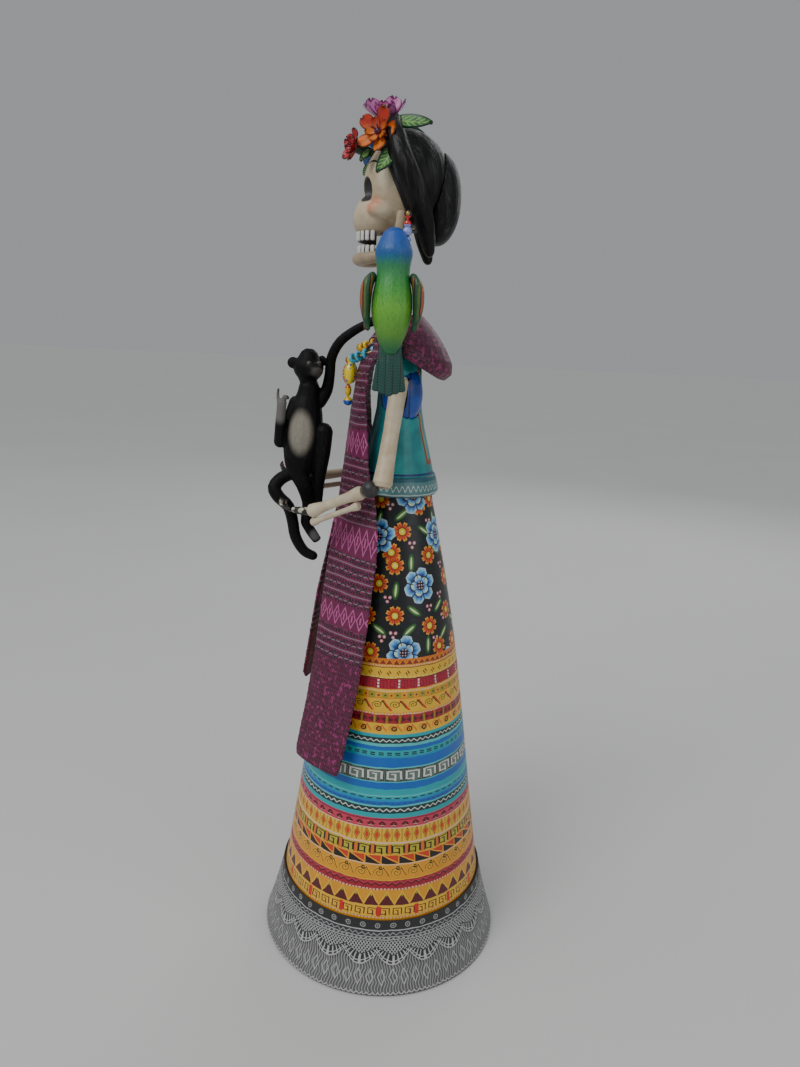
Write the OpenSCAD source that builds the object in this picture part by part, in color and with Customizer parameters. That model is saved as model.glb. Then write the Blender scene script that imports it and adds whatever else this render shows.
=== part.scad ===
// Papier-mache catrina: a skeleton lady in a long painted skirt, blouse and shawl,
// with a monkey in her hands and a parrot on her left shoulder.
// She faces -Y, her left side is +X, and the base stands on z = 0.

/* [Skirt] */
// Radius of the lace flounce where it meets the table
base_r = 65; // [58:0.5:80]
// Height of the waist above the table
skirt_h = 240; // [200:1:290]
// Outer radius of the skirt at the waist
waist_r = 18; // [17:0.5:19]
// Outer radius of the skirt where the flounce starts
knee_r = 53.4; // [48:0.2:56]
// Height of the lace flounce
flounce_h = 36.5; // [28:0.5:50]
// How far the skirt bellies out between flounce and waist
skirt_belly = 2.8; // [0:0.1:5]
// Paper thickness of the flounce
flounce_wall = 3.2; // [2.4:0.1:4]
// Paper thickness of the skirt at its thinnest
skirt_wall = 2.2; // [1.6:0.1:3]
// Thickness of the cardboard cone inside the skirt
card_t = 1.2; // [0.8:0.1:2]
// Thickness of the wooden base board
board_t = 6; // [4:0.5:10]
// How far the board's edge lies inside the flounce's foot
board_inset = 5; // [4.5:0.1:6]

/* [Frame] */
// Diameter of the wooden dowel
dowel_d = 8; // [6:0.5:9]
// Depth of the dowel's socket in the base board
socket_depth = 4; // [2:0.5:5]
// Thickness of the wooden waist disc
waist_disc_t = 5; // [3:0.5:8]
// Diameter of the arm wires
wire_d = 1.6; // [1:0.1:2]
// Glue gap between pieces that seat on each other
glue_gap = 0.1; // [0.05:0.05:0.2]

/* [Blouse] */
// Height from the waist to the top of the shoulders
torso_h = 78; // [76:1:80]
// Half width of the blouse at its hem
hem_rx = 24; // [23.4:0.1:24.4]
// Half depth of the blouse at its hem
hem_ry = 21.5; // [21:0.1:22]
// Height of the hem band
hem_h = 10; // [8:0.5:12]
// Paper thickness of the blouse
blouse_wall = 1.6; // [1.2:0.1:2]
// Diameter of the rolled paper core
core_d = 16; // [14:0.5:17]

/* [Arms] */
// Radius of an upper arm bone's shaft
humerus_r = 4.1; // [3.4:0.1:4.3]
// Radius of a forearm's thick bone
radius_r = 2.5; // [2:0.1:2.7]
// Radius of a forearm's thin bone
ulna_r = 1.4; // [1:0.1:1.6]
// Radius of an elbow knuckle
elbow_r = 4; // [3.2:0.1:4.2]

/* [Shawl] */
// Thickness of the shawl
shawl_t = 1.6; // [1:0.1:2]
// Width of the hanging shawl ends
shawl_w = 33.5; // [28:0.5:36]
// Height of the left end above the table
left_end_z = 110; // [90:1:140]
// Height of the right end above the table
right_end_z = 136; // [110:1:160]
// Gap between the shawl ends and the skirt
shawl_gap = 3.4; // [2.8:0.1:6]

/* [Head] */
// Radius of the brain case
skull_r = 18.5; // [17.5:0.1:19]
// Half height of the brain case
skull_rz = 20; // [19:0.1:21]
// Thickness of the hair on the skull
hair_t = 4; // [3:0.1:5]
// Teeth in each row
teeth = 10; // [8:2:12]

/* [Jewellery] */
// Wire diameter of the hooks and strands
strand_d = 1; // [0.8:0.1:1.2]
// Free play of a hanging loop on its wire
loop_play = 0.4; // [0.3:0.05:0.6]
// Wire diameter of the hanging loops
loop_d = 0.8; // [0.6:0.1:1]
// Outer diameter of a small bead
bead_d = 4.4; // [3.6:0.1:5]
// Number of gold beads on the upper strand
gold_beads = 20; // [12:1:20]

/* [Hidden] */

// ---- vectors and paths

function unit(v) = v / norm(v);
function last(v) = len(v) - 1;
function xyz(p) = [p[0], p[1], p[2]];
// A point of a limb: centre, half width and half thickness
function pt(c, a, b) = [c[0], c[1], c[2], a, b];
function rnd(x, y, z, r) = [x, y, z, r, r];
function flip(p) = [for (i = [0:last(p)]) i == 0 ? -p[i] : p[i]];
function lift(ps, dz) = [for (p = ps) [for (i = [0:last(p)]) i == 2 ? p[i] + dz : p[i]]];
function blend4(a, b, c, d, t) =
    0.5 * (2 * b + (c - a) * t + (2 * a - 5 * b + 4 * c - d) * t * t + (3 * b - 3 * c + d - a) * t * t * t);
// A smooth curve through the points, with n steps between each pair
function smooth(p, n) = concat(
    [for (i = [0:last(p) - 1]) for (k = [0:n - 1])
        blend4(p[max(i - 1, 0)], p[i], p[i + 1], p[min(i + 2, last(p))], k / n)],
    [p[last(p)]]);
function heading(p, i) = unit(xyz(p[min(i + 1, last(p))]) - xyz(p[max(i - 1, 0)]));
// An oval ring of points square to direction t; its half width a lies across ref
function oval(c, t, a, b, ref, n) = let (u = unit(cross(t, ref)), w = cross(u, t))
    [for (i = [0:n - 1]) c + a * cos(360 * i / n) * u + b * sin(360 * i / n) * w];

// ---- building blocks

// A closed solid through rings of equal point counts; loop joins the last ring to the first
module loft(rings, loop = false) {
    m = len(rings);
    n = len(rings[0]);
    points = [for (r = rings) each r];
    sides = [for (k = [0:(loop ? m - 1 : m - 2)]) for (i = [0:n - 1])
        let (a = k * n + i, b = k * n + (i + 1) % n,
            c = (k + 1) % m * n + (i + 1) % n, d = (k + 1) % m * n + i)
        each [[a, b, c], [a, c, d]]];
    top = (m - 1) * n;
    caps = loop ? [] : [for (i = [1:n - 2]) each [[0, i + 1, i], [top, top + i, top + i + 1]]];
    polyhedron(points, concat(sides, caps));
}

// A rounded tube or blade through [x, y, z, half width, half thickness] points
module limb(points, steps = 3, sides = 10, ref = [1, 0, 0]) {
    p = smooth(points, steps);
    ts = [for (i = [0:last(p)]) heading(p, i)];
    function end(i, way) = [for (k = way < 0 ? [2, 1] : [1, 2])
        let (s = [0, 0.75, 0.35][k], out = [0, 0.5, 0.8][k] * min(p[i][3], p[i][4]))
        oval(xyz(p[i]) + way * out * ts[i], ts[i], p[i][3] * s, p[i][4] * s, ref, sides)];
    body = [for (i = [0:last(p)]) oval(xyz(p[i]), ts[i], p[i][3], p[i][4], ref, sides)];
    loft(concat(end(0, -1), body, end(last(p), 1)));
}

// A stiff sheet between grid rows of outer points, t thick on its inner side
module sheet(outer, inner) {
    rows = len(outer);
    cols = len(outer[0]);
    n = rows * cols;
    points = concat([for (r = outer) each r], [for (r = inner) each r]);
    function two(a, b, c, d) = [[a, b, c], [a, c, d]];
    faces = concat(
        [for (r = [0:rows - 2]) for (c = [0:cols - 2])
            let (a = r * cols + c) each concat(
                two(a, a + 1, a + cols + 1, a + cols),
                two(n + a, n + a + cols, n + a + cols + 1, n + a + 1))],
        [for (r = [0:rows - 2]) let (a = r * cols, b = r * cols + cols - 1) each concat(
            two(a, a + cols, n + a + cols, n + a),
            two(b + cols, b, n + b, n + b + cols))],
        [for (c = [0:cols - 2]) let (a = c, b = (rows - 1) * cols + c) each concat(
            two(a + 1, a, n + a, n + a + 1),
            two(b, b + 1, n + b + 1, n + b))]);
    polyhedron(points, faces);
}

// Turns +Z to run from a towards b, starting at a
module along(a, b) {
    v = b - a;
    translate(a) rotate([0, acos(v[2] / norm(v)), atan2(v[1], v[0])]) children();
}

module rod(a, b, r) {
    along(a, b) cylinder(r = r, h = norm(b - a), $fn = 32);
}

module ball(c, r) {
    translate(c) scale(r) sphere(1, $fn = 40);
}

// A ball of radius r, stretched to half length h along its turned Z axis
module ovoid(c, r, h, turn = [0, 0, 0]) {
    n = 18;
    translate(c) rotate(turn) rotate_extrude($fn = 56)
        polygon([for (i = [0:n]) [i % n == 0 ? 0 : r * sin(180 * i / n), -h * cos(180 * i / n)]]);
}

// A bone turned about the line from a to b, drilled for a wire when bore > 0
module bone(a, b, r, knob, bore) {
    l = norm(b - a);
    head = 1.25 * knob;
    along(a, b) rotate_extrude($fn = 40)
        polygon([[bore, 0], [knob * 0.75, 0], [knob, head * 0.35], [knob * 0.97, head * 0.8], [r, head * 2],
            [r * 0.93, l / 2], [r, l - head * 2], [knob * 0.97, l - head * 0.8], [knob, l - head * 0.35],
            [knob * 0.75, l], [bore, l]]);
}

// An eyelet of flat wire with its axis along +X
module loop_ring(centre, hole_r, wire) {
    translate(centre) rotate([0, 90, 0]) rotate_extrude($fn = 40)
        translate([hole_r, -wire / 2]) square(wire);
}

// A bead threaded along +Z
module bead(outer_d, hole_r) {
    tube_r = (outer_d / 2 - hole_r) / 2;
    rotate_extrude($fn = 32) translate([hole_r + tube_r, 0]) circle(r = tube_r, $fn = 20);
}

// ---- derived sizes

dowel_r = dowel_d / 2;
wire_r = wire_d / 2;
board_r = base_r - board_inset;
// Slope of the skirt and of the straight card cone inside it
cone_slope = (knee_r - waist_r) / (skirt_h - flounce_h);
hem_z = 4.8;           // height of the hem's lower edge over the waist
tuck = 6;              // how far the skirt reaches up inside the hem
skirt_top = skirt_h + hem_z + tuck;
flounce_lap = 6;       // how far the skirt reaches down inside the flounce
function skirt_t(z) = max(0, min(1, (z - flounce_h) / (skirt_h - flounce_h)));
function skirt_r(z) = knee_r - cone_slope * (z - flounce_h) + skirt_belly * sin(180 * pow(skirt_t(z), 1.5));
function cone_r(z) = knee_r - skirt_wall - cone_slope * (z - flounce_h);
// Outer radius of the flounce: a lip over the skirt, then a flare to the foot
function flounce_r(z) = let (t = 1 - z / flounce_h)
    knee_r + 1.2 + (base_r - knee_r - 1.2) * (0.75 * t + 0.25 * pow(t, 1.8));

// Heights above the waist, for everything that the blouse carries
head_z = torso_h + 70;
neck_r = 6.4;
left_shoulder = [16, -1, torso_h - 17];
left_bend = [33.2, -6.8, torso_h - 64];      // where the wire leaves the upper arm
left_elbow = [34, -12.4, torso_h - 67.5];
left_wrist = [18.5, -42, -4.5];
right_bend = [-33.2, -6.8, torso_h - 64];
right_elbow = [-34, -12.4, torso_h - 67.5];
right_wrist = [-13.5, -45.5, 7.5];
bone_gap = elbow_r + 0.3;
shoulder_bore = wire_r + glue_gap;
// Blouse sections: height, half width and half depth, then its centre line
blouse_rows = [
    [hem_z + hem_h / 2, hem_rx - 2.4, hem_ry - 2.4], [hem_z + hem_h + 0.2, hem_rx - 2.4, hem_ry - 3],
    [26, 20.2, 15.8], [37, 18.8, 12.9], [46, 18.3, 11.2], [torso_h - 22, 18.8, 10.7],
    [torso_h - 14, 19.3, 10.3], [torso_h - 8, 17.5, 9.6], [torso_h - 4, 13, 9.2], [torso_h - 1, 9.6, 9]];
blouse_y = -1;
blouse_sides = 28;
function blouse_ring(row, off) = [for (i = [0:blouse_sides - 1])
    let (a = -360 * i / blouse_sides)
    [(row[1] - off) * cos(a), blouse_y + (row[2] - off) * sin(a), row[0]]];

// Everything above the waist is drawn from the waist up
module waist() {
    translate([0, 0, skirt_h]) children();
}

// ---- skirt and base

module base_board() {
    color("burlywood") difference() {
        cylinder(r = board_r, h = board_t, $fn = 96);
        translate([0, 0, board_t - socket_depth])
            cylinder(r = dowel_r + glue_gap / 2, h = socket_depth + 1, $fn = 48);
    }
}

dowel_foot = board_t - socket_depth;
dowel_top = skirt_h + torso_h - 15;
module dowel() {
    color("tan") translate([0, 0, dowel_foot]) cylinder(r = dowel_r, h = dowel_top - dowel_foot, $fn = 48);
}

module card_cone() {
    color("peru") rotate_extrude($fn = 96) polygon([
        [cone_r(board_t) - card_t, board_t], [cone_r(board_t), board_t],
        [cone_r(skirt_top), skirt_top], [cone_r(skirt_top) - card_t, skirt_top]]);
}

module skirt_shell() {
    z0 = flounce_h - flounce_lap;
    steps = 22;
    outer = [for (i = [0:steps]) let (z = flounce_h + (skirt_top - flounce_h) * i / steps) [skirt_r(z), z]];
    color("darkorange") rotate_extrude($fn = 96) polygon(concat(
        [[cone_r(z0) + glue_gap, z0], [knee_r, z0]], outer,
        [[cone_r(skirt_top) + glue_gap, skirt_top]]));
}

module lace_flounce() {
    steps = 12;
    foot = 1.4;        // rounding of the foot
    lap_z = flounce_h - flounce_lap;
    seat_z = board_t + 0.2;
    outer = [for (i = [0:steps]) let (z = foot + (flounce_h - foot) * i / steps) [flounce_r(z), z]];
    inner = [for (i = [0:steps / 2]) let (z = lap_z - (lap_z - seat_z) * 2 * i / steps)
        [min(knee_r + glue_gap + (lap_z - z), flounce_r(z) - flounce_wall), z]];
    color("gray") rotate_extrude($fn = 96) polygon(concat(
        [[board_r + glue_gap, 0], [base_r - foot, 0]], outer,
        [[knee_r + glue_gap, flounce_h], [knee_r + glue_gap, lap_z]], inner,
        [[board_r + glue_gap, seat_z]]));
}

module waist_disc() {
    z0 = skirt_top - 2 - waist_disc_t;
    color("burlywood") difference() {
        translate([0, 0, z0]) cylinder(r1 = cone_r(z0) - card_t - glue_gap,
            r2 = cone_r(z0 + waist_disc_t) - card_t - glue_gap, h = waist_disc_t, $fn = 64);
        translate([0, 0, z0 - 1]) cylinder(r = dowel_r + glue_gap / 2, h = waist_disc_t + 2, $fn = 48);
    }
}

// ---- blouse

core_top = torso_h - 6.8;
module paper_core() {
    z0 = skirt_top - 2;
    color("wheat") difference() {
        translate([0, 0, z0]) cylinder(d = core_d, h = skirt_h + core_top - z0, $fn = 64);
        translate([0, 0, z0 - 1]) cylinder(r = dowel_r + glue_gap / 2, h = dowel_top - z0 + 1.2, $fn = 48);
        waist() neck_peg(glue_gap / 2);
        waist() translate([-core_d, left_shoulder[1] + wire_bend_y, left_shoulder[2]]) rotate([0, 90, 0])
            cylinder(r = shoulder_bore, h = core_d * 2, $fn = 32);
    }
}
// The wire crosses in front of the dowel
wire_bend_y = -dowel_r - 1 - wire_r + 0.9;

module armhole_form(grow) {
    ovoid([10.2, 0.2, torso_h - 25], 9.9 + grow, 15 + grow);
}

humerus_end = left_bend + 2.6 * unit(left_bend - left_shoulder);
module humerus_space(grow) {
    rod(left_shoulder, humerus_end, humerus_r * 1.16 + grow);
}

// The room that the skirt takes where it reaches up inside the blouse
module skirt_space(gap) {
    cylinder(r1 = skirt_r(skirt_h) + gap, r2 = skirt_r(skirt_top) + gap, h = skirt_top - skirt_h,
        $fn = 96);
}

module blouse_shell() {
    outer = [for (r = blouse_rows) blouse_ring(r, 0)];
    inner = [for (i = [last(blouse_rows):-1:0]) blouse_ring(blouse_rows[i], blouse_wall)];
    color("teal") waist() difference() {
        loft(concat(outer, inner), loop = true);
        for (side = [0, 1]) mirror([side, 0, 0]) {
            armhole_form(glue_gap);
            humerus_space(glue_gap);
        }
        cylinder(d = core_d + 2 * glue_gap, h = core_top + glue_gap, $fn = 48);
        rod(neck_foot, neck_head, neck_r + glue_gap);
        skirt_space(glue_gap);
    }
}

module blouse_hem() {
    gap = glue_gap;
    rings = [[0, hem_rx - 1, hem_ry - 1], [1.5, hem_rx, hem_ry], [4, hem_rx - 0.3, hem_ry - 0.4],
        [hem_h - 1.5, hem_rx - 1.4, hem_ry - 1.7], [hem_h, hem_rx - 2, hem_ry - 2.3]];
    lap = blouse_rows[0][0] - hem_z - gap;
    color("cadetblue") waist() difference() {
        translate([0, 0, hem_z]) loft(concat(
            [for (r = rings) blouse_ring(r, 0)],
            [blouse_ring([hem_h, hem_rx - 2.4 + gap, hem_ry - 2.95 + gap], 0),
             blouse_ring([lap, hem_rx - 2.4 + gap, hem_ry - 2.4 + gap], 0),
             blouse_ring([lap, hem_rx - 4, hem_ry - 4], 0),
             blouse_ring([0, hem_rx - 3.6, hem_ry - 3], 0)]), loop = true);
        skirt_space(gap);
    }
}

module armhole() {
    difference() {
        armhole_form(0);
        translate([-6, -20, 0]) cube([16, 40, torso_h + 20]);
        humerus_space(glue_gap);
    }
}
module left_armhole() { color("mediumblue") waist() armhole(); }
module right_armhole() { color("mediumblue") waist() mirror([1, 0, 0]) armhole(); }

// ---- arms

left_fore_start = left_elbow + bone_gap * unit(left_wrist - left_elbow);
right_fore_start = right_elbow + bone_gap * unit(right_wrist - right_elbow);

wire_path = [left_wrist, left_elbow, left_bend, left_shoulder, left_shoulder + [-8, wire_bend_y, 0],
    flip(left_shoulder) + [8, wire_bend_y, 0], flip(left_shoulder), right_bend, right_elbow, right_wrist];
module shoulder_wire() {
    color("silver") waist() {
        for (i = [0:last(wire_path) - 1]) rod(wire_path[i], wire_path[i + 1], wire_r);
        for (i = [1:last(wire_path) - 1]) translate(wire_path[i]) sphere(wire_r * 1.05, $fn = 32);
    }
}

module humerus() {
    difference() {
        bone(left_shoulder, humerus_end, humerus_r, humerus_r * 1.14, shoulder_bore);
        translate(left_bend) sphere(shoulder_bore * 1.06, $fn = 32);
        rod(left_bend, left_elbow, shoulder_bore);
    }
}

module elbow(centre, side, fore) {
    difference() {
        translate(centre) sphere(elbow_r, $fn = 40);
        mirror([side, 0, 0]) humerus_space(glue_gap);
        translate(centre) sphere(shoulder_bore * 1.06, $fn = 32);
        rod(centre, side > 0 ? right_bend : left_bend, shoulder_bore);
        rod(centre, fore, shoulder_bore);
    }
}

// The thick bone carries the wire, and the thin one runs below it
module forearm(start, wrist) {
    knob = radius_r * 1.36;
    drop = [0, 0, -knob - ulna_r * 1.5 - 0.3];
    way = unit(wrist - start);
    bone(start, wrist, radius_r, knob, shoulder_bore);
    bone(start + drop + 2 * way, wrist + drop - 1.5 * way, ulna_r, ulna_r * 1.5, 0);
}

// A palm and four fingers that curl, and a thumb. Each is a solid of its own.
module hand(wrist, way, up, side, curl) {
    across = [2.7, 0.9, -0.9, -2.7];
    palm = [for (k = [[0.7, 2.4, 2], [3, 3.6, 2.1], [8.2, 4.1, 1.7]])
        pt(wrist + k[0] * way, k[1], k[2])];
    limb(palm, 2, 12, up);
    for (i = [0:3]) {
        root = wrist + 10.4 * way + across[i] * side;
        limb([pt(root, 0.95, 0.95), pt(root + 4 * way + 0.6 * curl * up, 0.75, 0.75),
            pt(root + 6.5 * way + 3 * curl * up, 0.85, 0.85), pt(root + 6.4 * way + 6 * curl * up, 0.6, 0.6)],
            2, 6, side);
    }
    thumb = wrist + 3 * way + 4.9 * side;
    limb([pt(thumb, 1, 1), pt(thumb + 3 * way + 1.6 * side + 1.5 * curl * up, 0.85, 0.85),
        pt(thumb + 5.5 * way + 1.2 * side + 3.6 * curl * up, 0.6, 0.6)], 2, 6, way);
}

left_way = unit([-9, -17, -1]);
left_up = unit([-0.35, 0.15, 1]);
right_way = unit([8.5, -15, 3]);
right_up = unit([0.5, 0.35, 0.9]);

module left_humerus() { color("ivory") waist() humerus(); }
module right_humerus() { color("ivory") waist() mirror([1, 0, 0]) humerus(); }
module left_elbow() { color("dimgray") waist() elbow(left_elbow, 0, left_wrist); }
module right_elbow() { color("dimgray") waist() elbow(right_elbow, 1, right_wrist); }
module left_forearm() { color("ivory") waist() forearm(left_fore_start, left_wrist); }
module right_forearm() { color("ivory") waist() forearm(right_fore_start, right_wrist); }
module left_hand() {
    color("dimgray") waist() hand(left_wrist, left_way, left_up, unit(cross(left_way, left_up)), 0.8);
}
module right_hand() {
    color("brown") waist() hand(right_wrist, right_way, right_up, unit(cross(right_up, right_way)), 0.8);
}

// ---- neck and skull

// The neck leans forward from the core to the skull, with a peg into each
neck_foot = [0, -2.5, torso_h - 6];
neck_head = [0, -7.4, head_z - 20];
neck_way = unit(neck_head - neck_foot);
neck_peg_r = 3;
module neck_peg(grow) {
    rod(neck_foot - 5 * neck_way, neck_head + 9 * neck_way, neck_peg_r + grow);
}

skull_c = [0, -3.5, head_z];
jaw_y = -15.5;         // centre line of the tooth arches
module skull_form(grow) {
    ovoid(skull_c, skull_r + grow, skull_rz + grow);
}
module neck_bones() {
    l = norm(neck_head - neck_foot);
    count = 7;
    h = l / count;
    r = neck_r - 1.6;
    color("ivory") waist() {
        difference() {
            along(neck_foot, neck_head) rotate_extrude($fn = 48) polygon(concat(
                [[0, 0]],
                [for (i = [0:count - 1]) each [[r, i * h], [neck_r, i * h + 1.4],
                    [neck_r, i * h + h - 3], [r, i * h + h - 1.6]]],
                [[r, l], [0, l]]));
            skull_form(glue_gap);
        }
        neck_peg(-glue_gap / 2);
    }
}

module cranium() {
    color("ivory") waist() difference() {
        union() {
            skull_form(0);
            ovoid([0, jaw_y - 0.5, head_z - 15], 10.5, 11);
            for (side = [-1, 1]) ovoid([side * 11, jaw_y + 3, head_z - 12.5], 4, 7, [90, 0, 0]);
        }
        for (side = [-1, 1]) ovoid([side * 7.2, -21.5, head_z - 3.5], 4.8, 6.5, [90, 0, 0]);
        ovoid([0, jaw_y - 10, head_z - 12], 2.4, 3.6);
        translate([-20, -40, head_z - 40]) cube([40, 34, 18.5]);
        rod(neck_foot, neck_head, neck_r + glue_gap);
        neck_peg(glue_gap / 2);
    }
}

module jaw_path() {
    half = [pt([13.2, -3.5, head_z - 14], 2, 2.4), pt([12.8, -5, head_z - 24], 2.3, 2.5),
        pt([11, -10.5, head_z - 31.5], 2.8, 2.6), pt([7.2, -19, head_z - 33.4], 2.9, 2.8)];
    limb(concat(half, [pt([0, -23.4, head_z - 33.4], 3.2, 2.9)],
        [for (i = [3:-1:0]) flip(half[i])]), 3, 12, [0, 0.5, 1]);
}
module mandible() { color("ivory") waist() jaw_path(); }

// One row of teeth on an arch, z to z + h
module tooth_row(rx, ry, z, h) {
    for (i = [0:teeth - 1]) {
        a = 270 + (i - (teeth - 1) / 2) * 130 / (teeth - 1);
        ovoid([rx * cos(a), jaw_y + ry * sin(a), z + h / 2], 1.05, h / 2);
    }
}
module upper_teeth() { color("white") waist() tooth_row(7.9, 8.4, head_z - 26.2, 5.6); }
module lower_teeth() { color("white") waist() tooth_row(7.7, 7.8, head_z - 31.6, 5); }

// ---- hair

hair_tilt = 26;        // slope of the hairline from brow to nape
module hair_form(grow) {
    ovoid(skull_c, skull_r + hair_t + grow, skull_rz + hair_t + grow);
}
module hair_cap() {
    color("black") waist() difference() {
        hair_form(0);
        skull_form(glue_gap);
        translate([0, -17, head_z + 17]) rotate([hair_tilt, 0, 0])
            translate([-50, -100, -100]) cube([100, 100, 200]);
        translate([-50, -50, 0]) cube([100, 100, head_z - 19]);
    }
}
module hair_bun() {
    color("black") waist() difference() {
        ball([0, 13, head_z - 5.5], [14.5, 10.8, 20.5]);
        hair_form(glue_gap);
    }
}
roll_path = lift([rnd(7.5, -8, 26, 3), rnd(15.5, -8.5, 19.5, 4.3), rnd(21.5, -4.5, 8, 5),
    rnd(22.6, 1.2, -4, 5.2), rnd(19.6, 5.6, -14, 4.8), rnd(17, 8, -23, 4.2),
    rnd(15.5, 9.8, -31, 2.6)], head_z);
module hair_roll() {
    limb(roll_path, 3, 12, [0.3, 1, 0]);
}
module left_hair_roll() { color("black") waist() hair_roll(); }
module right_hair_roll() { color("black") waist() mirror([1, 0, 0]) hair_roll(); }

// ---- flowers: centre, direction and radius

pink_at = [0, -13, head_z + 32.5];
orange_at = [15, -14, head_z + 17.5];
red_at = [5, -24.5, head_z + 14];
blue_at = [-14.5, -16, head_z + 17];

// A lobed bowl of petals that opens along dir, and a smaller one in it
module flower(at, dir, r, petals) {
    n = petals * 8;
    function row(k, z) = [for (i = [0:n - 1])
        let (a = -360 * i / n, s = k * r * (1 + 0.12 * k * cos(petals * a))) [s * cos(a), s * sin(a), z * r]];
    along(at, at + dir) {
        loft([row(0.16, 0), row(0.5, 0.05), row(0.86, 0.25), row(1, 0.5),
            row(0.96, 0.56), row(0.8, 0.36), row(0.46, 0.2), row(0.14, 0.18)]);
        rotate([0, 0, 180 / petals]) loft([row(0.2, 0.12), row(0.42, 0.3), row(0.62, 0.66),
            row(0.56, 0.7), row(0.36, 0.42), row(0.16, 0.32)]);
    }
}
pink_dir = [0.1, -0.25, 1];
orange_dir = [0.75, -0.6, 0.25];
red_dir = [0.25, -1, 0.3];
blue_dir = [-1, -0.35, 0.35];
module pink_flower() { color("hotpink") waist() flower(pink_at - 7 * unit(pink_dir), pink_dir, 9.6, 6); }
module orange_flower() { color("orange") waist() flower(orange_at - 2 * unit(orange_dir), orange_dir, 9, 6); }
module red_flower() { color("red") waist() flower(red_at - 2 * unit(red_dir), red_dir, 6.6, 5); }
module blue_flower() { color("navy") waist() flower(blue_at - 2 * unit(blue_dir), blue_dir, 8, 6); }
module flower_hearts() {
    color("gold") waist() {
        for (f = [[pink_at, pink_dir, 9.6, 7], [orange_at, orange_dir, 9, 2],
            [red_at, red_dir, 6.6, 2], [blue_at, blue_dir, 8, 2]])
            translate(f[0] + (0.45 * f[2] - f[3]) * unit(f[1])) sphere(0.24 * f[2], $fn = 32);
    }
}
// A leaf from its root through a middle point to its tip
module leaf(root, middle, tip, width, face) {
    limb([pt(root, width * 0.3, 0.7), pt((root + middle) / 2, width * 0.85, 0.8), pt(middle, width, 0.8),
        pt((middle + tip) / 2, width * 0.65, 0.7), pt(tip, 0.5, 0.5)], 2, 8, face);
}
module hair_leaves() {
    z = head_z;
    color("green") waist() for (side = [1, -1]) {
        leaf([side * 8, -7, z + 26.5], [side * 11, -1, z + 25.6], [side * 12, 5.8, z + 22.4], 3.8,
            [side * 0.8, 0, 1]);
        leaf([side * 20, -7.5, z + 11], [side * 21.6, -11, z + 6.5], [side * 21, -13.5, z + 1], 3.2,
            [side, -0.4, 0.2]);
        leaf([side * 12, -21, z + 10], [side * 13.5, -23.5, z + 6.5], [side * 13, -25, z + 2.5], 2.6,
            [side * 0.6, -1, 0.2]);
    }
}

// ---- earrings

ear_y = -0.6;
ear_z = head_z - 16;
ear_x = 23;
hook_r = strand_d / 2;
loop_hole_r = hook_r + loop_play;
module ear_hooks() {
    color("gold") waist() for (side = [0, 1]) mirror([side, 0, 0]) {
        rod([skull_r - 6, ear_y, ear_z], [ear_x + 2, ear_y, ear_z], hook_r);
        translate([ear_x + 2, ear_y, ear_z]) sphere(hook_r * 1.9, $fn = 32);
    }
}
// Beads on a wire that hangs from a loop; each is [middle, radius] below the loop
module bead_drop(list) {
    foot = last(list);
    top = -loop_hole_r - loop_d * 0.7;
    translate([0, 0, top - list[foot][0]]) cylinder(r = loop_d / 2, h = list[foot][0], $fn = 24);
    for (b = list) translate([0, 0, top - b[0]]) sphere(b[1], $fn = 36);
}
module earring() {
    translate([ear_x, ear_y, ear_z]) {
        loop_ring([0, 0, 0], loop_hole_r, loop_d);
        bead_drop([[2.6, bead_d * 0.38], [5.8, bead_d * 0.47], [9.2, bead_d * 0.4], [11.6, bead_d * 0.22],
            [13.4, bead_d * 0.22], [16, bead_d * 0.45]]);
    }
}
module left_earring() { color("gold") waist() earring(); }
module right_earring() { color("gold") waist() mirror([1, 0, 0]) earring(); }

// ---- necklaces: each strand is a round loop that slopes to the front

// Centre height over the blouse, centre y, radius and slope
upper = [torso_h + 1.5, -5.9, 16.1, 20];
lower = [torso_h - 3.5, -9.3, 18.4, 20.6];
module on_strand(s, angle) {
    translate([0, s[1], s[0]]) rotate([s[3], 0, 0]) rotate([0, 0, angle]) translate([0, -s[2], 0]) children();
}
function strand_point(s, angle) = [s[2] * sin(angle), s[1] - s[2] * cos(angle) * cos(s[3]),
    s[0] - s[2] * cos(angle) * sin(s[3])];
module strand(s) {
    translate([0, s[1], s[0]]) rotate([s[3], 0, 0]) rotate_extrude($fn = 96)
        translate([s[2], 0]) circle(d = strand_d, $fn = 20);
}
strand_hole_r = strand_d / 2 + glue_gap / 2;
gold_bead_r = bead_d * 0.48;
ring_bead_r = bead_d * 0.55;
module upper_strand() { color("goldenrod") waist() strand(upper); }
module lower_strand() { color("goldenrod") waist() strand(lower); }
module gold_bead_string() {
    pitch = 2 * asin((bead_d + 0.1) / 2 / upper[2]) * 1.005;
    color("gold") waist() for (i = [0:gold_beads - 1])
        on_strand(upper, (i - (gold_beads - 1) / 2) * pitch)
            rotate([0, 90, 0]) bead(gold_bead_r * 2, strand_hole_r);
}
module ring_beads() {
    color("turquoise") waist() for (side = [-1, 1]) for (a = [33, 47, 61, 75])
        on_strand(lower, side * a) rotate([0, 90, 0]) bead(ring_bead_r * 2, strand_hole_r);
}

side_swing = 21.5;     // where the side pendants hang, in degrees along the strand
pendant_at = strand_point(lower, side_swing);
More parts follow.
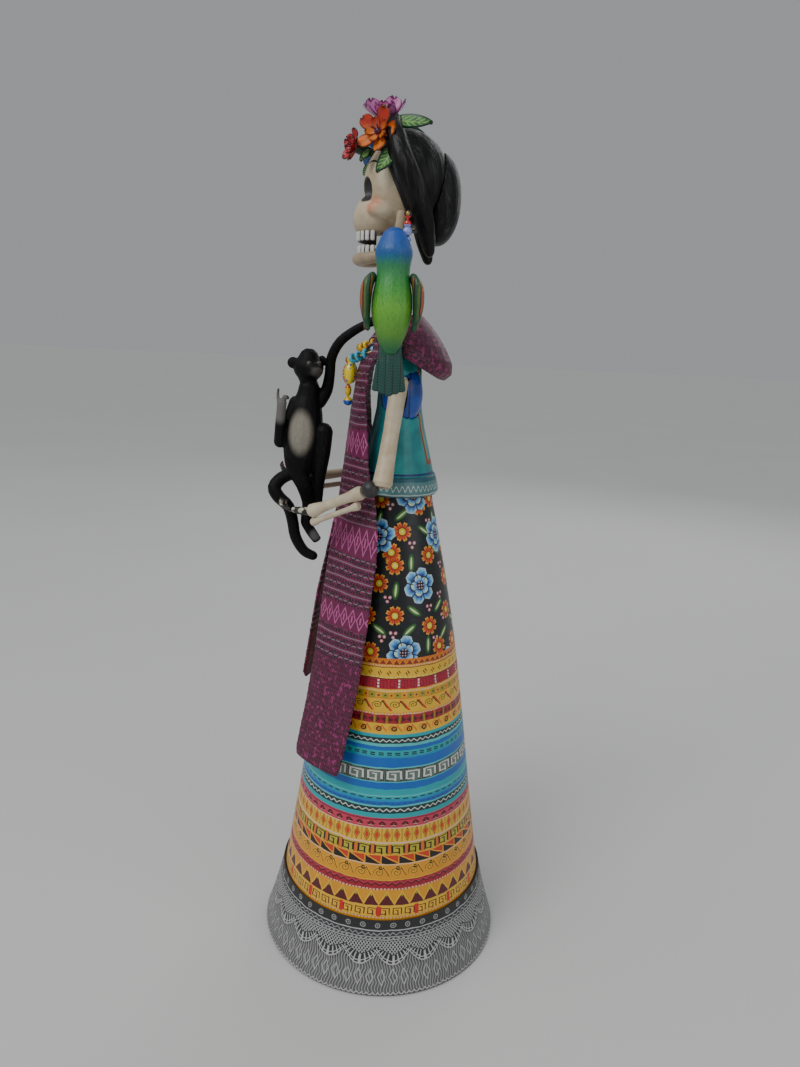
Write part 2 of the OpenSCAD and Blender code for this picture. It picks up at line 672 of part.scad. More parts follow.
// A drop under a loop: radius and half height
module pendant(at, w, h) {
    translate(at) {
        loop_ring([0, 0, 0], strand_d / 2 + loop_play, loop_d);
        translate([0, 0, -strand_d / 2 - loop_play - loop_d * 0.6 - h]) ovoid([0, 0, 0], w, h);
    }
}
module left_pendant() { color("gold") waist() pendant(pendant_at, 2.8, 5.2); }
module right_pendant() { color("gold") waist() pendant(flip(pendant_at), 2.8, 5.2); }
module middle_pendant() {
    at = strand_point(lower, 0);
    h = 5.2;
    foot = -strand_d / 2 - loop_play - loop_d * 0.6 - 2 * h;
    color("chocolate") waist() {
        pendant(at, 3, h);
        translate(at) {
            translate([0, 0, foot - 9]) cylinder(r = loop_d / 2, h = 10, $fn = 24);
            ovoid([0, 0, foot - 2.8], 1.7, 3);
            translate([0, 0, foot - 8]) sphere(2.3, $fn = 36);
        }
    }
}

// ---- shawl

// The under side of a grid of points, t below the upper one
function under(g, t) = [for (r = [0:last(g)]) [for (c = [0:last(g[0])])
    let (down = g[min(r + 1, last(g))][c] - g[max(r - 1, 0)][c],
         right = g[r][min(c + 1, last(g[0]))] - g[r][max(c - 1, 0)])
    g[r][c] - t * unit(cross(down, right))]];
// Points across a strip from edge a to edge b, bulged by h along dir
function strip(a, b, h, dir, n) = [for (i = [0:n]) let (s = i / n)
    a + s * (b - a) + 4 * s * (1 - s) * h * unit(dir)];

function chest_row(a, b, h) = strip(a, b, h, [a[0] + b[0], a[1] + b[1], 18], 6);
chest_rows = [
    chest_row([11.5, -0.2, torso_h + 12.5], [27.5, -0.2, torso_h - 2], 1.5),
    chest_row([10.5, -9, torso_h + 10], [26.3, -10, torso_h - 4], 1.5),
    chest_row([8.5, -17, torso_h], [24, -16, torso_h - 13], 1.6),
    chest_row([5, -22, torso_h - 14], [22.5, -17.5, torso_h - 26], 1.6),
    chest_row([3, -25, torso_h - 33], [22.5, -16, torso_h - 42], 1.6),
    chest_row([2, -27.5, torso_h - 56], [24.5, -14.5, torso_h - 60], 1.8)];
// A level row over the skirt: share of the way down, azimuth from the front, extra gap and extra width
function skirt_row(end_z, row) = let (
    z = skirt_h + 2 - row[0] * (skirt_h + 2 - end_z),
    c = skirt_r(min(z, skirt_h)) + shawl_gap + shawl_t + row[2],
    out = [sin(row[1]), -cos(row[1]), 0],
    along = [cos(row[1]), sin(row[1]), 0],
    half = (shawl_w + row[3]) / 2,
    middle = c * out + [0, 0, z - skirt_h])
    strip(middle - half * along, middle + half * along, 1.6, out, 6);
left_rows = concat(chest_rows, [for (r = [[0, 36.5, 2.2, -1], [0.1, 39.5, 0.4, 1.5], [0.2, 42.3, 0, 3],
    [0.4, 46, 0, 1.5], [0.61, 48, 0.2, 0], [0.81, 47.3, 1.4, 0], [0.97, 46.5, 3.2, 0],
    [1, 46.5, 3.4, -3]]) skirt_row(left_end_z, r)]);
right_rows = concat(chest_rows, [for (r = [[0, 36, 2.2, -1], [0.24, 33.2, 2.4, 0], [0.5, 30.7, 2.7, 1],
    [0.76, 30.1, 2.6, 0], [0.96, 29.4, 3, -1], [1, 29.4, 3, -7]]) skirt_row(right_end_z, r)]);

// The room that the beads of a strand take where it passes under the shawl
module strand_space(s, bead_r) {
    translate([0, s[1], s[0]]) rotate([s[3], 0, 0]) rotate_extrude($fn = 96)
        translate([s[2], 0]) circle(r = bead_r + glue_gap, $fn = 24);
}
module shawl_end(rows) {
    difference() {
        sheet(rows, under(rows, shawl_t));
        strand_space(upper, gold_bead_r);
        strand_space(lower, ring_bead_r);
    }
}
module shawl_left_end() { color("mediumvioletred") waist() shawl_end(left_rows); }
module shawl_right_end() { color("mediumvioletred") waist() mirror([1, 0, 0]) shawl_end(right_rows); }

back_turns = 16;
function back_column(a) = let (c = cos(a), s = sin(a),
    neck = [11.5 * c, 8.4 * s, torso_h + 12.5],
    edge = [27.5 * c, 24 * s, torso_h - 2 - 8 * s])
    concat(strip(neck, edge, 1.5, [39 * c, 32 * s, 18], 4),
        [[28.6 * c, 24 * s, torso_h - 5.5 - 9.5 * s], [28 * c, 20.5 * s, torso_h - 7.5 - 10.5 * s],
         [27 * c, 16.5 * s, torso_h - 7.5 - 9.5 * s]]);
back_columns = [for (i = [0:back_turns]) back_column(180 * i / back_turns)];
back_grid = [for (r = [0:last(back_columns[0])]) [for (c = back_columns) c[r]]];
module shawl_back() {
    color("purple") waist() difference() {
        sheet(back_grid, under(back_grid, shawl_t));
        strand_space(upper, gold_bead_r);
    }
}

// ---- monkey: faces +X, its right side towards -Y

fur = "black";
module monkey_body() {
    color(fur) waist() limb([rnd(4, -49, 14.5, 7), rnd(4, -48.5, 22, 9), rnd(4.5, -47.5, 32, 9.4),
        rnd(4.5, -46.5, 43, 8.2), rnd(4.5, -45.5, 50, 5.8), rnd(4.5, -45, 55, 5)], 3, 16);
}
module monkey_head() {
    color(fur) waist() {
        limb([pt([4.5, -46, 58.2], 5, 4.6), pt([4.5, -45.8, 61], 7.2, 6.8), pt([4.5, -45.6, 65], 7.4, 7.2),
            pt([4.5, -45.4, 68.4], 5.4, 5.2)], 3, 16, [0, 1, 0]);
        limb([pt([8, -43.4, 63], 4.6, 4.2), pt([11.2, -41.4, 62.4], 4, 3.4), pt([13, -40.4, 62], 2.8, 2.2)],
            3, 14, [0, 0, 1]);
    }
}
module monkey_ears() {
    color("dimgray") waist() {
        ball([4, -53.2, 65.6], [1.6, 2.8, 2.8]);
        ball([2, -39.4, 67], [1.6, 2.2, 2.6]);
    }
}
module monkey_neck_arm() {
    color(fur) waist() {
        limb([rnd(3.5, -40.5, 47, 3.4), rnd(3, -36.8, 53, 3), rnd(3, -35.4, 61, 2.6),
            rnd(3.6, -34.6, 69, 2.5), rnd(5, -30.5, 76.5, 2.4), rnd(6.6, -23.5, 82, 2.2),
            rnd(8, -17, 85.5, 2)], 3, 12);
        limb([pt([8, -17.6, 85.3], 2, 1.8), pt([8.8, -14.5, 86.6], 2.4, 1.4), pt([9.3, -12, 87.4], 1.6, 1)],
            2, 10);
    }
}
module monkey_raised_arm() {
    color(fur) waist() {
        translate([0, 1.3, 0]) {
            limb([rnd(3.5, -52.8, 47, 3.4), rnd(4.4, -56, 38, 3.2), rnd(6.4, -60, 27, 3)], 4, 12);
            limb([rnd(6.4, -60.2, 27, 3), rnd(9.4, -59.6, 36, 2.5), rnd(9.8, -59, 44, 2.3),
                pt([9.8, -58.8, 47], 2.5, 2)], 4, 12);
            limb([rnd(9.8, -60.4, 47, 0.9), rnd(9.6, -60.8, 50, 0.8), rnd(9.4, -60.6, 53, 0.7)], 2, 6);
            limb([pt([9.8, -58, 47.4], 1.2, 1.2), pt([10.6, -57.2, 49.6], 1.3, 1.1),
                pt([11.6, -55.6, 49], 1, 0.8)], 2, 8);
        }
    }
}
module monkey_left_leg() {
    color(fur) waist() {
        limb([rnd(3.5, -44.5, 22, 4.6), rnd(5, -41, 29, 4.6), rnd(7, -37.2, 34, 4.3)], 3, 12, [1, 0, 0.3]);
        limb([rnd(7, -37, 34, 4.3), rnd(6.4, -38, 23, 4.2), rnd(4.6, -39.6, 9, 3.2), rnd(3, -40, 0, 2.6)],
            3, 12);
        limb([pt([3, -40, 0], 2.6, 2.4), pt([3, -40.5, -4], 2.6, 2), pt([3.6, -42, -7], 2, 1.4)], 2, 10);
    }
}
module monkey_right_leg() {
    color(fur) waist() {
        limb([rnd(6, -52.5, 22, 4.6), rnd(7, -51, 15, 4.6), rnd(6.4, -46.5, 6.5, 4.2), rnd(3, -44.4, -3, 3.6),
            rnd(1.6, -45.6, -10, 3), rnd(1.8, -46, -14, 2.7)], 4, 12);
        limb([pt([1.8, -46, -14], 2.6, 2.4), pt([3, -43, -18], 2.9, 1.7), pt([4, -39.8, -22], 2.6, 1.2)],
            3, 10, [0.6, 0.8, -0.5]);
    }
}
module monkey_tail() {
    color(fur) waist() limb([rnd(0.6, -53, 11, 3), rnd(1, -58.5, 8.6, 3.3), rnd(3, -62, 4, 3.4),
        rnd(4, -59.6, -0.6, 3.3), rnd(3, -54.8, -5.5, 3.1), rnd(2.6, -52.6, -13, 3), rnd(3, -51, -21, 2.9),
        rnd(3.6, -46.6, -28, 2.7), rnd(4, -41.5, -30.5, 2.5)], 3, 12, [1, 0.2, 0.1]);
}

// ---- parrot: looks towards -X, its back to +X

parrot_y = -5.8;
perch_z = torso_h - 1;
module parrot_body() {
    z = perch_z;
    color("yellowgreen") waist() {
        limb([rnd(36.8, parrot_y, z - 2.5, 4.4), rnd(37.5, parrot_y, z + 4, 7),
            rnd(37.5, parrot_y, z + 12, 8.9), rnd(37.3, parrot_y, z + 20, 8.6),
            rnd(37, parrot_y, z + 27.5, 7.2), rnd(36.6, parrot_y, z + 33, 7.6),
            rnd(36.4, parrot_y, z + 37.5, 8.2), rnd(36.3, parrot_y, z + 42, 6.4)], 3, 16);
        limb([pt([30, parrot_y, z + 38], 2.6, 2.8), pt([27.4, parrot_y, z + 37], 1.9, 2.3),
            pt([26.5, parrot_y, z + 33.4], 0.7, 0.9)], 3, 10, [0, 1, 0]);
    }
}
module parrot_wings() {
    color("green") waist() for (side = [-1, 1])
        limb([pt([38, parrot_y + side * 8.6, perch_z + 27], 3.6, 1.8),
            pt([39, parrot_y + side * 10.8, perch_z + 23], 5.6, 2.6),
            pt([39.4, parrot_y + side * 11.4, perch_z + 16], 5.2, 2.5),
            pt([39.6, parrot_y + side * 10.9, perch_z + 10], 3.4, 1.8),
            pt([39.6, parrot_y + side * 10, perch_z + 5], 1.6, 1.1)], 3, 12, [0, 1, 0]);
}
module parrot_tail() {
    color("darkgreen") waist() for (i = [-2:2])
        limb([pt([37 + abs(i) * 0.2, parrot_y + i * 1.5, perch_z + 1], 1.6, 1.2),
            pt([38.4 - abs(i) * 0.3, parrot_y + i * 2.1, perch_z - 9], 1.8, 1.1),
            pt([38 - abs(i) * 0.6, parrot_y + i * 3, perch_z - 23 + abs(i) * 1], 1.8, 0.9)], 3, 8);
}
module parrot_feet() {
    z = perch_z;
    color("gray") waist() for (side = [-1, 1]) {
        y = parrot_y + side * 3.2;
        limb([rnd(34.5, y, z + 1, 1.2), rnd(31, y, z - 0.4, 1.1), rnd(28.6, y, z - 0.6, 1.1)],
            2, 8, [0, 1, 0.2]);
        for (k = [-1, 0, 1])
            limb([rnd(28.8, y + 0.2 * k, z - 0.7, 0.9), rnd(26.6, y + 1.1 * k, z + 0.7, 0.8),
                rnd(24.4, y + 1.5 * k, z + 1.8, 0.7)], 2, 6, [0, 1, 0.2]);
    }
}

base_board();
dowel();
card_cone();
skirt_shell();
lace_flounce();
waist_disc();
paper_core();
blouse_shell();
blouse_hem();
left_armhole();
right_armhole();
shoulder_wire();
left_humerus();
left_elbow();
left_forearm();
left_hand();
right_humerus();
right_elbow();
right_forearm();
right_hand();
neck_bones();
cranium();
mandible();
upper_teeth();
lower_teeth();
hair_cap();
hair_bun();
left_hair_roll();
right_hair_roll();
pink_flower();
orange_flower();
red_flower();
blue_flower();
flower_hearts();
hair_leaves();
ear_hooks();
left_earring();
right_earring();
upper_strand();
lower_strand();
gold_bead_string();
ring_beads();
left_pendant();
middle_pendant();
right_pendant();
shawl_back();
shawl_left_end();
shawl_right_end();
monkey_body();
monkey_head();
monkey_ears();
monkey_neck_arm();
monkey_raised_arm();
monkey_left_leg();
monkey_right_leg();
monkey_tail();
parrot_body();
parrot_wings();
parrot_tail();
parrot_feet();
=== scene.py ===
"""A papier-mache catrina: painted skirt, blouse, shawl, bone arms and skull, flowers, monkey and parrot."""
import math

import bpy
from mathutils import Euler, Matrix, Vector


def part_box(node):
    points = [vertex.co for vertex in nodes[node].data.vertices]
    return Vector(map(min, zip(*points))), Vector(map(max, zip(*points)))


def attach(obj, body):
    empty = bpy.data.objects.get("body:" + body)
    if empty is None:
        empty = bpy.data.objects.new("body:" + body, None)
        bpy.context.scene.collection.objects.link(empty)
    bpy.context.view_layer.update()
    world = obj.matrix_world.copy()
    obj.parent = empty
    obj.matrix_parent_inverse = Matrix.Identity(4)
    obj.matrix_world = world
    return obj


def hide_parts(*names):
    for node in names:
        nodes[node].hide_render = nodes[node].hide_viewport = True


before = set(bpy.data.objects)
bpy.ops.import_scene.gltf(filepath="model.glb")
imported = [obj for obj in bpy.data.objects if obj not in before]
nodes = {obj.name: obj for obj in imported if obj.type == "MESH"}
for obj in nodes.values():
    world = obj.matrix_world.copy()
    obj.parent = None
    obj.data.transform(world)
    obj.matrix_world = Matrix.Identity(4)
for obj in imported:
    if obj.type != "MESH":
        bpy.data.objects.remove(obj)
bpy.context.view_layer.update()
mm = 0.001

# ---- sizes that the skirt shares with the frame, in metres

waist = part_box("blouse_hem")[0].z - 4.8 * mm
skirt_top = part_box("skirt_shell")[1].z
foot_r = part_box("lace_flounce")[1].x
flounce_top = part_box("lace_flounce")[1].z
knee_r = 53.4 * mm
waist_r = 18 * mm
belly = 2.8 * mm

# ---- places that finishes and pieces share, in millimetres; heights are over the waist

head_z = 148
jaw_y = -15.5
parrot_y = -5.8


def skirt_r(z):
    share = max(0, min(1, (z - flounce_top) / (waist - flounce_top)))
    straight = knee_r - (knee_r - waist_r) / (waist - flounce_top) * (z - flounce_top)
    return straight + belly * math.sin(math.pi * share ** 1.5)


def flounce_r(z):
    t = 1 - z / flounce_top
    lip = knee_r + 1.2 * mm
    return lip + (foot_r - lip) * (0.75 * t + 0.25 * t ** 1.8)


def up(x, y, z):
    """A point given in millimetres, with z from the waist up."""
    return Vector((x * mm, y * mm, z * mm + waist))


# ---- node trees: sockets with arithmetic

class Value:
    """A number, colour or vector that varies over the surface."""

    def __init__(self, tree, socket):
        self.tree = tree
        self.socket = socket

    def op(self, kind, *others):
        return math_node(self.tree, kind, self, *others)

    def __add__(self, other):
        return self.op("ADD", other)

    def __sub__(self, other):
        return self.op("SUBTRACT", other)

    def __mul__(self, other):
        return self.op("MULTIPLY", other)

    def __truediv__(self, other):
        return self.op("DIVIDE", other)

    def __rsub__(self, other):
        return math_node(self.tree, "SUBTRACT", other, self)

    __radd__ = __add__
    __rmul__ = __mul__

    def __abs__(self):
        return self.op("ABSOLUTE")

    def below(self, limit):
        return self.op("LESS_THAN", limit)

    def above(self, limit):
        return self.op("GREATER_THAN", limit)

    def near(self, middle, half):
        return abs(self - middle).below(half)

    def wrap(self):
        """The phase from -0.5 to 0.5."""
        return self.op("FRACT") - 0.5

    def both(self, other):
        return self.op("MINIMUM", other)

    def either(self, other):
        return self.op("MAXIMUM", other)

    def soft(self, low, high):
        """Rises smoothly from 0 at low to 1 at high."""
        node = self.tree.nodes.new("ShaderNodeMapRange")
        node.interpolation_type = "SMOOTHSTEP"
        plug(self, node.inputs["Value"])
        node.inputs["From Min"].default_value = low
        node.inputs["From Max"].default_value = high
        return Value(self.tree, node.outputs[0])


def plug(item, socket):
    if isinstance(item, Value):
        item.tree.links.new(item.socket, socket)
    elif isinstance(item, (tuple, list)) and socket.type == "RGBA":
        socket.default_value = (*item[:3], 1)
    else:
        socket.default_value = item


def math_node(tree, kind, *items):
    node = tree.nodes.new("ShaderNodeMath")
    node.operation = kind
    for item, socket in zip(items, node.inputs):
        plug(item, socket)
    return Value(tree, node.outputs[0])


def place(tree):
    """Object coordinates in millimetres, as three values."""
    source = tree.nodes.new("ShaderNodeTexCoord")
    split = tree.nodes.new("ShaderNodeSeparateXYZ")
    tree.links.new(source.outputs["Object"], split.inputs[0])
    return [Value(tree, split.outputs[i]) * 1000 for i in range(3)]


def own_map(tree):
    """Place along and across a leaf or petal, each from 0 to 1, from its own map."""
    source = tree.nodes.new("ShaderNodeTexCoord")
    split = tree.nodes.new("ShaderNodeSeparateXYZ")
    tree.links.new(source.outputs["UV"], split.inputs[0])
    return Value(tree, split.outputs[0]), Value(tree, split.outputs[1])


def vector(tree, x, y, z):
    node = tree.nodes.new("ShaderNodeCombineXYZ")
    for item, socket in zip((x, y, z), node.inputs):
        plug(item, socket)
    return Value(tree, node.outputs[0])


def noise(tree, scale, detail=2.0, at=None, rough=0.5):
    """Noise with scale features to the metre, or to the unit of the given place."""
    node = tree.nodes.new("ShaderNodeTexNoise")
    node.inputs["Scale"].default_value = scale
    node.inputs["Detail"].default_value = detail
    node.inputs["Roughness"].default_value = rough
    if at is None:
        source = tree.nodes.new("ShaderNodeTexCoord")
        tree.links.new(source.outputs["Object"], node.inputs["Vector"])
    else:
        plug(at, node.inputs["Vector"])
    return Value(tree, node.outputs["Fac"])


def mixed(mask, under, over):
    node = mask.tree.nodes.new("ShaderNodeMix")
    node.data_type = "RGBA"
    plug(mask, node.inputs[0])
    plug(under, node.inputs[6])
    plug(over, node.inputs[7])
    return Value(mask.tree, node.outputs[2])


def ramp(value, stops, kind="CONSTANT"):
    """A colour for each height: stops are (position, colour), positions from 0 to 1."""
    node = value.tree.nodes.new("ShaderNodeValToRGB")
    node.color_ramp.interpolation = kind
    plug(value, node.inputs[0])
    marks = node.color_ramp.elements
    while len(marks) < len(stops):
        marks.new(0.5)
    for mark, (where, colour) in zip(marks, stops):
        mark.position = where
        mark.color = (*colour, 1)
    return Value(value.tree, node.outputs[0])


groups = {}


def shared(name, takes, gives):
    """Makes a node group from a function of its inputs, once."""
    def decorate(build):
        tree = bpy.data.node_groups.new(name, "ShaderNodeTree")
        for label, start in takes.items():
            socket = tree.interface.new_socket(label, in_out="INPUT", socket_type="NodeSocketFloat")
            socket.default_value = start
        for label in gives:
            kind = "NodeSocketColor" if label == "Colour" else "NodeSocketFloat"
            tree.interface.new_socket(label, in_out="OUTPUT", socket_type=kind)
        source = tree.nodes.new("NodeGroupInput")
        sink = tree.nodes.new("NodeGroupOutput")
        results = build(tree, *[Value(tree, source.outputs[label]) for label in takes])
        for result, label in zip(results, gives):
            plug(result, sink.inputs[label])
        groups[name] = tree
        return build
    return decorate


def use(tree, name, *items):
    node = tree.nodes.new("ShaderNodeGroup")
    node.node_tree = groups[name]
    for item, socket in zip(items, node.inputs):
        plug(item, socket)
    return [Value(tree, socket) for socket in node.outputs]


# ---- shared effects

@shared("painted paper", {"Lump": 1.0, "Fibre": 1.0}, ("Tone", "Height", "Gloss"))
def painted_paper(tree, lump, fibre):
    """Soft lumps of the paper under the paint, its fibres, and uneven strokes."""
    lumps = noise(tree, 55, 3)
    fibres = noise(tree, 900, 2)
    strokes = noise(tree, 260, 3)
    tone = 0.64 + lumps * 0.2 + strokes * 0.16
    height = lumps * lump + fibres * fibre * 0.12 + strokes * 0.1
    gloss = 0.3 + strokes * 0.22
    return tone, height, gloss


@shared("round place", {"Wobble": 1.0}, ("Turn", "Height", "Radius"))
def round_place(tree, wobble):
    """Place on a turned piece, with the small slips of a hand that paints it."""
    x, y, z = place(tree)
    slip = (noise(tree, 170, 1) - 0.5) * wobble
    slip_up = (noise(tree, 210, 1, at=vector(tree, y * 0.001, z * 0.001, x * 0.001)) - 0.5) * wobble
    turn = y.op("ARCTAN2", x) / math.tau + 0.5 + slip * 0.004
    radius = (x * x + y * y).op("SQRT")
    return turn, z + slip_up * 0.9, radius


@shared("band", {"Turn": 0.0, "Height": 0.0, "Bottom": 0.0, "Top": 1.0, "Count": 10.0},
        ("Inside", "Across", "Up"))
def band(tree, turn, height, bottom, top, count):
    inside = height.above(bottom).both(height.below(top))
    return inside, (turn * count).wrap(), (height - bottom) / (top - bottom)


@shared("zigzag", {"Across": 0.0, "Up": 0.0, "Size": 0.4, "Line": 0.1}, ("Line", "Under"))
def zigzag(tree, across, level, size, line):
    edge = 0.5 + size * (1 - abs(across) * 4)
    return abs(level - edge).below(line), level.below(edge)


@shared("ring", {"Across": 0.0, "Up": 0.0, "Shape": 1.0, "Size": 0.3, "Line": 0.1}, ("Ring", "Disc"))
def ring(tree, across, level, shape, size, line):
    far = ((across * shape) * (across * shape) + (level - 0.5) * (level - 0.5)).op("SQRT")
    return abs(far - size).below(line), far.below(size)


@shared("diamond", {"Across": 0.0, "Up": 0.0, "Shape": 1.0, "Size": 0.4, "Line": 0.08}, ("Outline", "Fill"))
def diamond(tree, across, level, shape, size, line):
    far = abs(across) * shape + abs(level - 0.5)
    return abs(far - size).below(line), far.below(size)


@shared("meander", {"Across": 0.0, "Up": 0.0, "Wide": 1.0}, ("Line",))
def meander(tree, across, level, wide):
    """A square hook that turns in on itself."""
    x = across * wide
    y = level - 0.5
    frame_ring = abs(x).either(abs(y)).near(0.34, 0.05)
    gap = x.near(0.17, 0.12).both(y.below(-0.2))
    stem = x.near(0.05, 0.05).both(y.below(0.12))
    hook = y.near(0.1, 0.05).both(x.near(-0.04, 0.13))
    return [(frame_ring.both(1 - gap)).either(stem).either(hook)]


@shared("scroll", {"Across": 0.0, "Up": 0.0, "Shape": 1.0, "Line": 0.2}, ("Line",))
def scroll(tree, across, level, shape, line):
    """A spiral with a tail that runs down to the next one."""
    x = (across + 0.08) * shape
    y = level - 0.55
    far = (x * x + y * y).op("SQRT")
    winding = (far * 5.2 - y.op("ARCTAN2", x) / math.tau + 0.2).wrap()
    spiral = abs(winding).below(line).both(far.below(0.36))
    tail = abs(level - 0.9 + abs(across - 0.2) * 2.1).below(line * 0.5).both(across.above(0.12))
    return [spiral.either(tail)]


@shared("dashes", {"Turn": 0.0, "Height": 0.0, "At": 0.0, "Half": 0.3, "Count": 60.0, "Share": 0.3},
        ("Mask",))
def dashes(tree, turn, height, level, half, count, share):
    return [height.near(level, half).both(abs((turn * count).wrap()).below(share))]


@shared("stamp", {"Turn": 0.0, "Height": 0.0, "Radius": 30.0, "At": 0.0, "Level": 0.0, "Sectors": 4.0,
                  "Old X": 99.0, "Old Y": 99.0}, ("X", "Y"))
def stamp(tree, turn, height, radius, at, level, sectors, old_x, old_y):
    """Millimetres from a repeated place, where that is nearer than the old one."""
    x = ((turn - at) * sectors + 0.5).wrap() / sectors * radius * math.tau
    y = height - level
    nearer = (x * x + y * y).below(old_x * old_x + old_y * old_y)
    return old_x + (x - old_x) * nearer, old_y + (y - old_y) * nearer


def nearest(tree, where, places, sectors):
    x, y = 99.0, 99.0
    for azimuth, level in places:
        x, y = use(tree, "stamp", *where, azimuth / 360 + 0.5, level, sectors, x, y)
    return x, y


@shared("daisy", {"X": 0.0, "Y": 0.0, "Size": 5.3}, ("Colour", "Mask"))
def daisy(tree, x, y, size):
    far = (x * x + y * y).op("SQRT") / size
    petal = (y.op("ARCTAN2", x) * (8 / math.tau)).wrap()
    notch = abs((petal * 2.4).op("FRACT") - 0.5)
    edge = 0.98 - notch * 0.3 - abs(petal) * 0.45
    petals = far.below(edge).both(abs(petal).below(0.44))
    tint = ramp(far, [(0.0, (0.45, 0.01, 0.0)), (0.42, (0.72, 0.045, 0.005)), (0.66, (0.9, 0.16, 0.01)),
                      (0.86, (0.98, 0.55, 0.06)), (1.0, (1.0, 0.85, 0.3))], "LINEAR")
    shade = mixed(abs(petal).below(0.06).both(far.below(0.7)), tint, (0.35, 0.0, 0.0))
    heart = mixed(far.below(0.36), shade, (0.03, 0.01, 0.0))
    heart = mixed(far.below(0.3), heart, (0.93, 0.72, 0.02))
    heart = mixed(far.below(0.12), heart, (0.98, 0.9, 0.3))
    return heart, petals.either(far.below(0.36))


@shared("peony", {"X": 0.0, "Y": 0.0, "Size": 9.2}, ("Colour", "Mask"))
def peony(tree, x, y, size):
    far = (x * x + y * y).op("SQRT") / size
    angle = y.op("ARCTAN2", x) / math.tau
    outer = (angle * 6 + 0.2).wrap()
    inner = (angle * 5).wrap()
    curl = abs((outer * 3).op("FRACT") - 0.5) * 0.12
    outer_edge = 1.0 - outer * outer * 1.1 - curl
    inner_edge = 0.58 - inner * inner * 0.7
    in_mask = far.below(inner_edge)
    depth = mixed(in_mask, vector(tree, far - outer_edge * 0.6, 0, 0), vector(tree, far * 1.2 - 0.2, 0, 0))
    split = tree.nodes.new("ShaderNodeSeparateXYZ")
    plug(depth, split.inputs[0])
    rise = Value(tree, split.outputs[0]) * 2.2
    streak = noise(tree, 1.1, 2, at=vector(tree, angle * 34, far * 2.2, 0))
    tint = ramp(rise + streak * 0.5 - 0.16, [(0.0, (0.005, 0.03, 0.16)), (0.22, (0.02, 0.15, 0.55)),
                (0.5, (0.13, 0.44, 0.85)), (0.74, (0.4, 0.74, 0.92)), (0.95, (0.78, 0.93, 0.72))], "LINEAR")
    vein = mixed(abs(outer).above(0.455).both(far.above(0.4)), tint, (0.002, 0.008, 0.05))
    rim = abs(far - inner_edge).below(0.035).either(abs(inner).above(0.46).both(in_mask))
    vein = mixed(rim, vein, (0.002, 0.008, 0.05))
    vein = mixed(far.near(0.965, 0.03).both(far.above(outer_edge - 0.05)), vein, (0.01, 0.07, 0.4))
    heart = mixed(far.below(0.25), vein, (0.004, 0.004, 0.02))
    seeds_x = (x * 0.72).wrap()
    seeds_y = (y * 0.72 + 0.3).wrap()
    seeds = (seeds_x * seeds_x + seeds_y * seeds_y).below(0.06).both(far.below(0.24))
    return mixed(seeds, heart, (0.9, 0.55, 0.6)), far.below(outer_edge)


@shared("painted leaf", {"X": 0.0, "Y": 0.0, "Turned": 0.0}, ("Colour", "Mask"))
def painted_leaf(tree, x, y, turned):
    long = x * turned.op("COSINE") + y * turned.op("SINE")
    wide = y * turned.op("COSINE") - x * turned.op("SINE")
    body = (long * long / 20 + wide * wide / 2.6).op("SQRT")
    tint = ramp(body, [(0.0, (0.3, 0.5, 0.05)), (0.45, (0.09, 0.3, 0.03)), (0.9, (0.01, 0.1, 0.02))],
                "LINEAR")
    streak = (long * long / 9 + wide * wide / 0.16).below(1.0)
    return mixed(streak, tint, (0.85, 0.9, 0.55)), body.below(1.0)


@shared("berries", {"X": 0.0, "Y": 0.0}, ("Colour", "Mask"))
def berries(tree, x, y):
    far = (x * x + y * y).op("SQRT")
    third = (y.op("ARCTAN2", x) * (3 / math.tau) + 0.25).wrap() * (math.tau / 3)
    dx = far * third.op("COSINE") - 1.35
    dy = far * third.op("SINE")
    spot = (dx * dx + dy * dy).op("SQRT")
    tint = mixed(spot.below(0.35), (0.75, 0.28, 0.34), (1.0, 0.85, 0.82))
    return tint, spot.below(0.82)


# ---- finishes

def finish_of(name):
    material = bpy.data.materials.new(name)
    material.use_nodes = True
    tree = material.node_tree
    return material, tree, tree.nodes["Principled BSDF"]


def set_up(tree, shader, colour, gloss, height=None, depth=0.25 * mm, metal=0.0):
    plug(colour, shader.inputs["Base Color"])
    plug(gloss, shader.inputs["Roughness"])
    shader.inputs["Metallic"].default_value = metal
    if height is not None:
        bump = tree.nodes.new("ShaderNodeBump")
        bump.inputs["Distance"].default_value = depth
        bump.inputs["Strength"].default_value = 0.8
        plug(height, bump.inputs["Height"])
        tree.links.new(bump.outputs[0], shader.inputs["Normal"])


def toned(colour, tone):
    """The colour, lighter or darker by the tone."""
    node = tone.tree.nodes.new("ShaderNodeVectorMath")
    node.operation = "SCALE"
    plug(colour, node.inputs[0])
    plug(tone, node.inputs["Scale"])
    return Value(tone.tree, node.outputs[0])


def paint(name, make_colour, lump=1.0, fibre=1.0, gloss=0.0, depth=0.3 * mm, specular=0.5, coat=0.12):
    """Varnished paint on papier-mache; make_colour gives the colour, and for some paints a relief."""
    material, tree, shader = finish_of(name)
    tone, height, shine = use(tree, "painted paper", lump, fibre)
    colour = make_colour(tree)
    if isinstance(colour, tuple):
        colour, relief = colour
        height = height + relief
    set_up(tree, shader, toned(colour, tone), shine + gloss, height, depth)
    shader.inputs["Specular IOR Level"].default_value = specular
    shader.inputs["Coat Weight"].default_value = coat
    shader.inputs["Coat Roughness"].default_value = 0.25
    return material


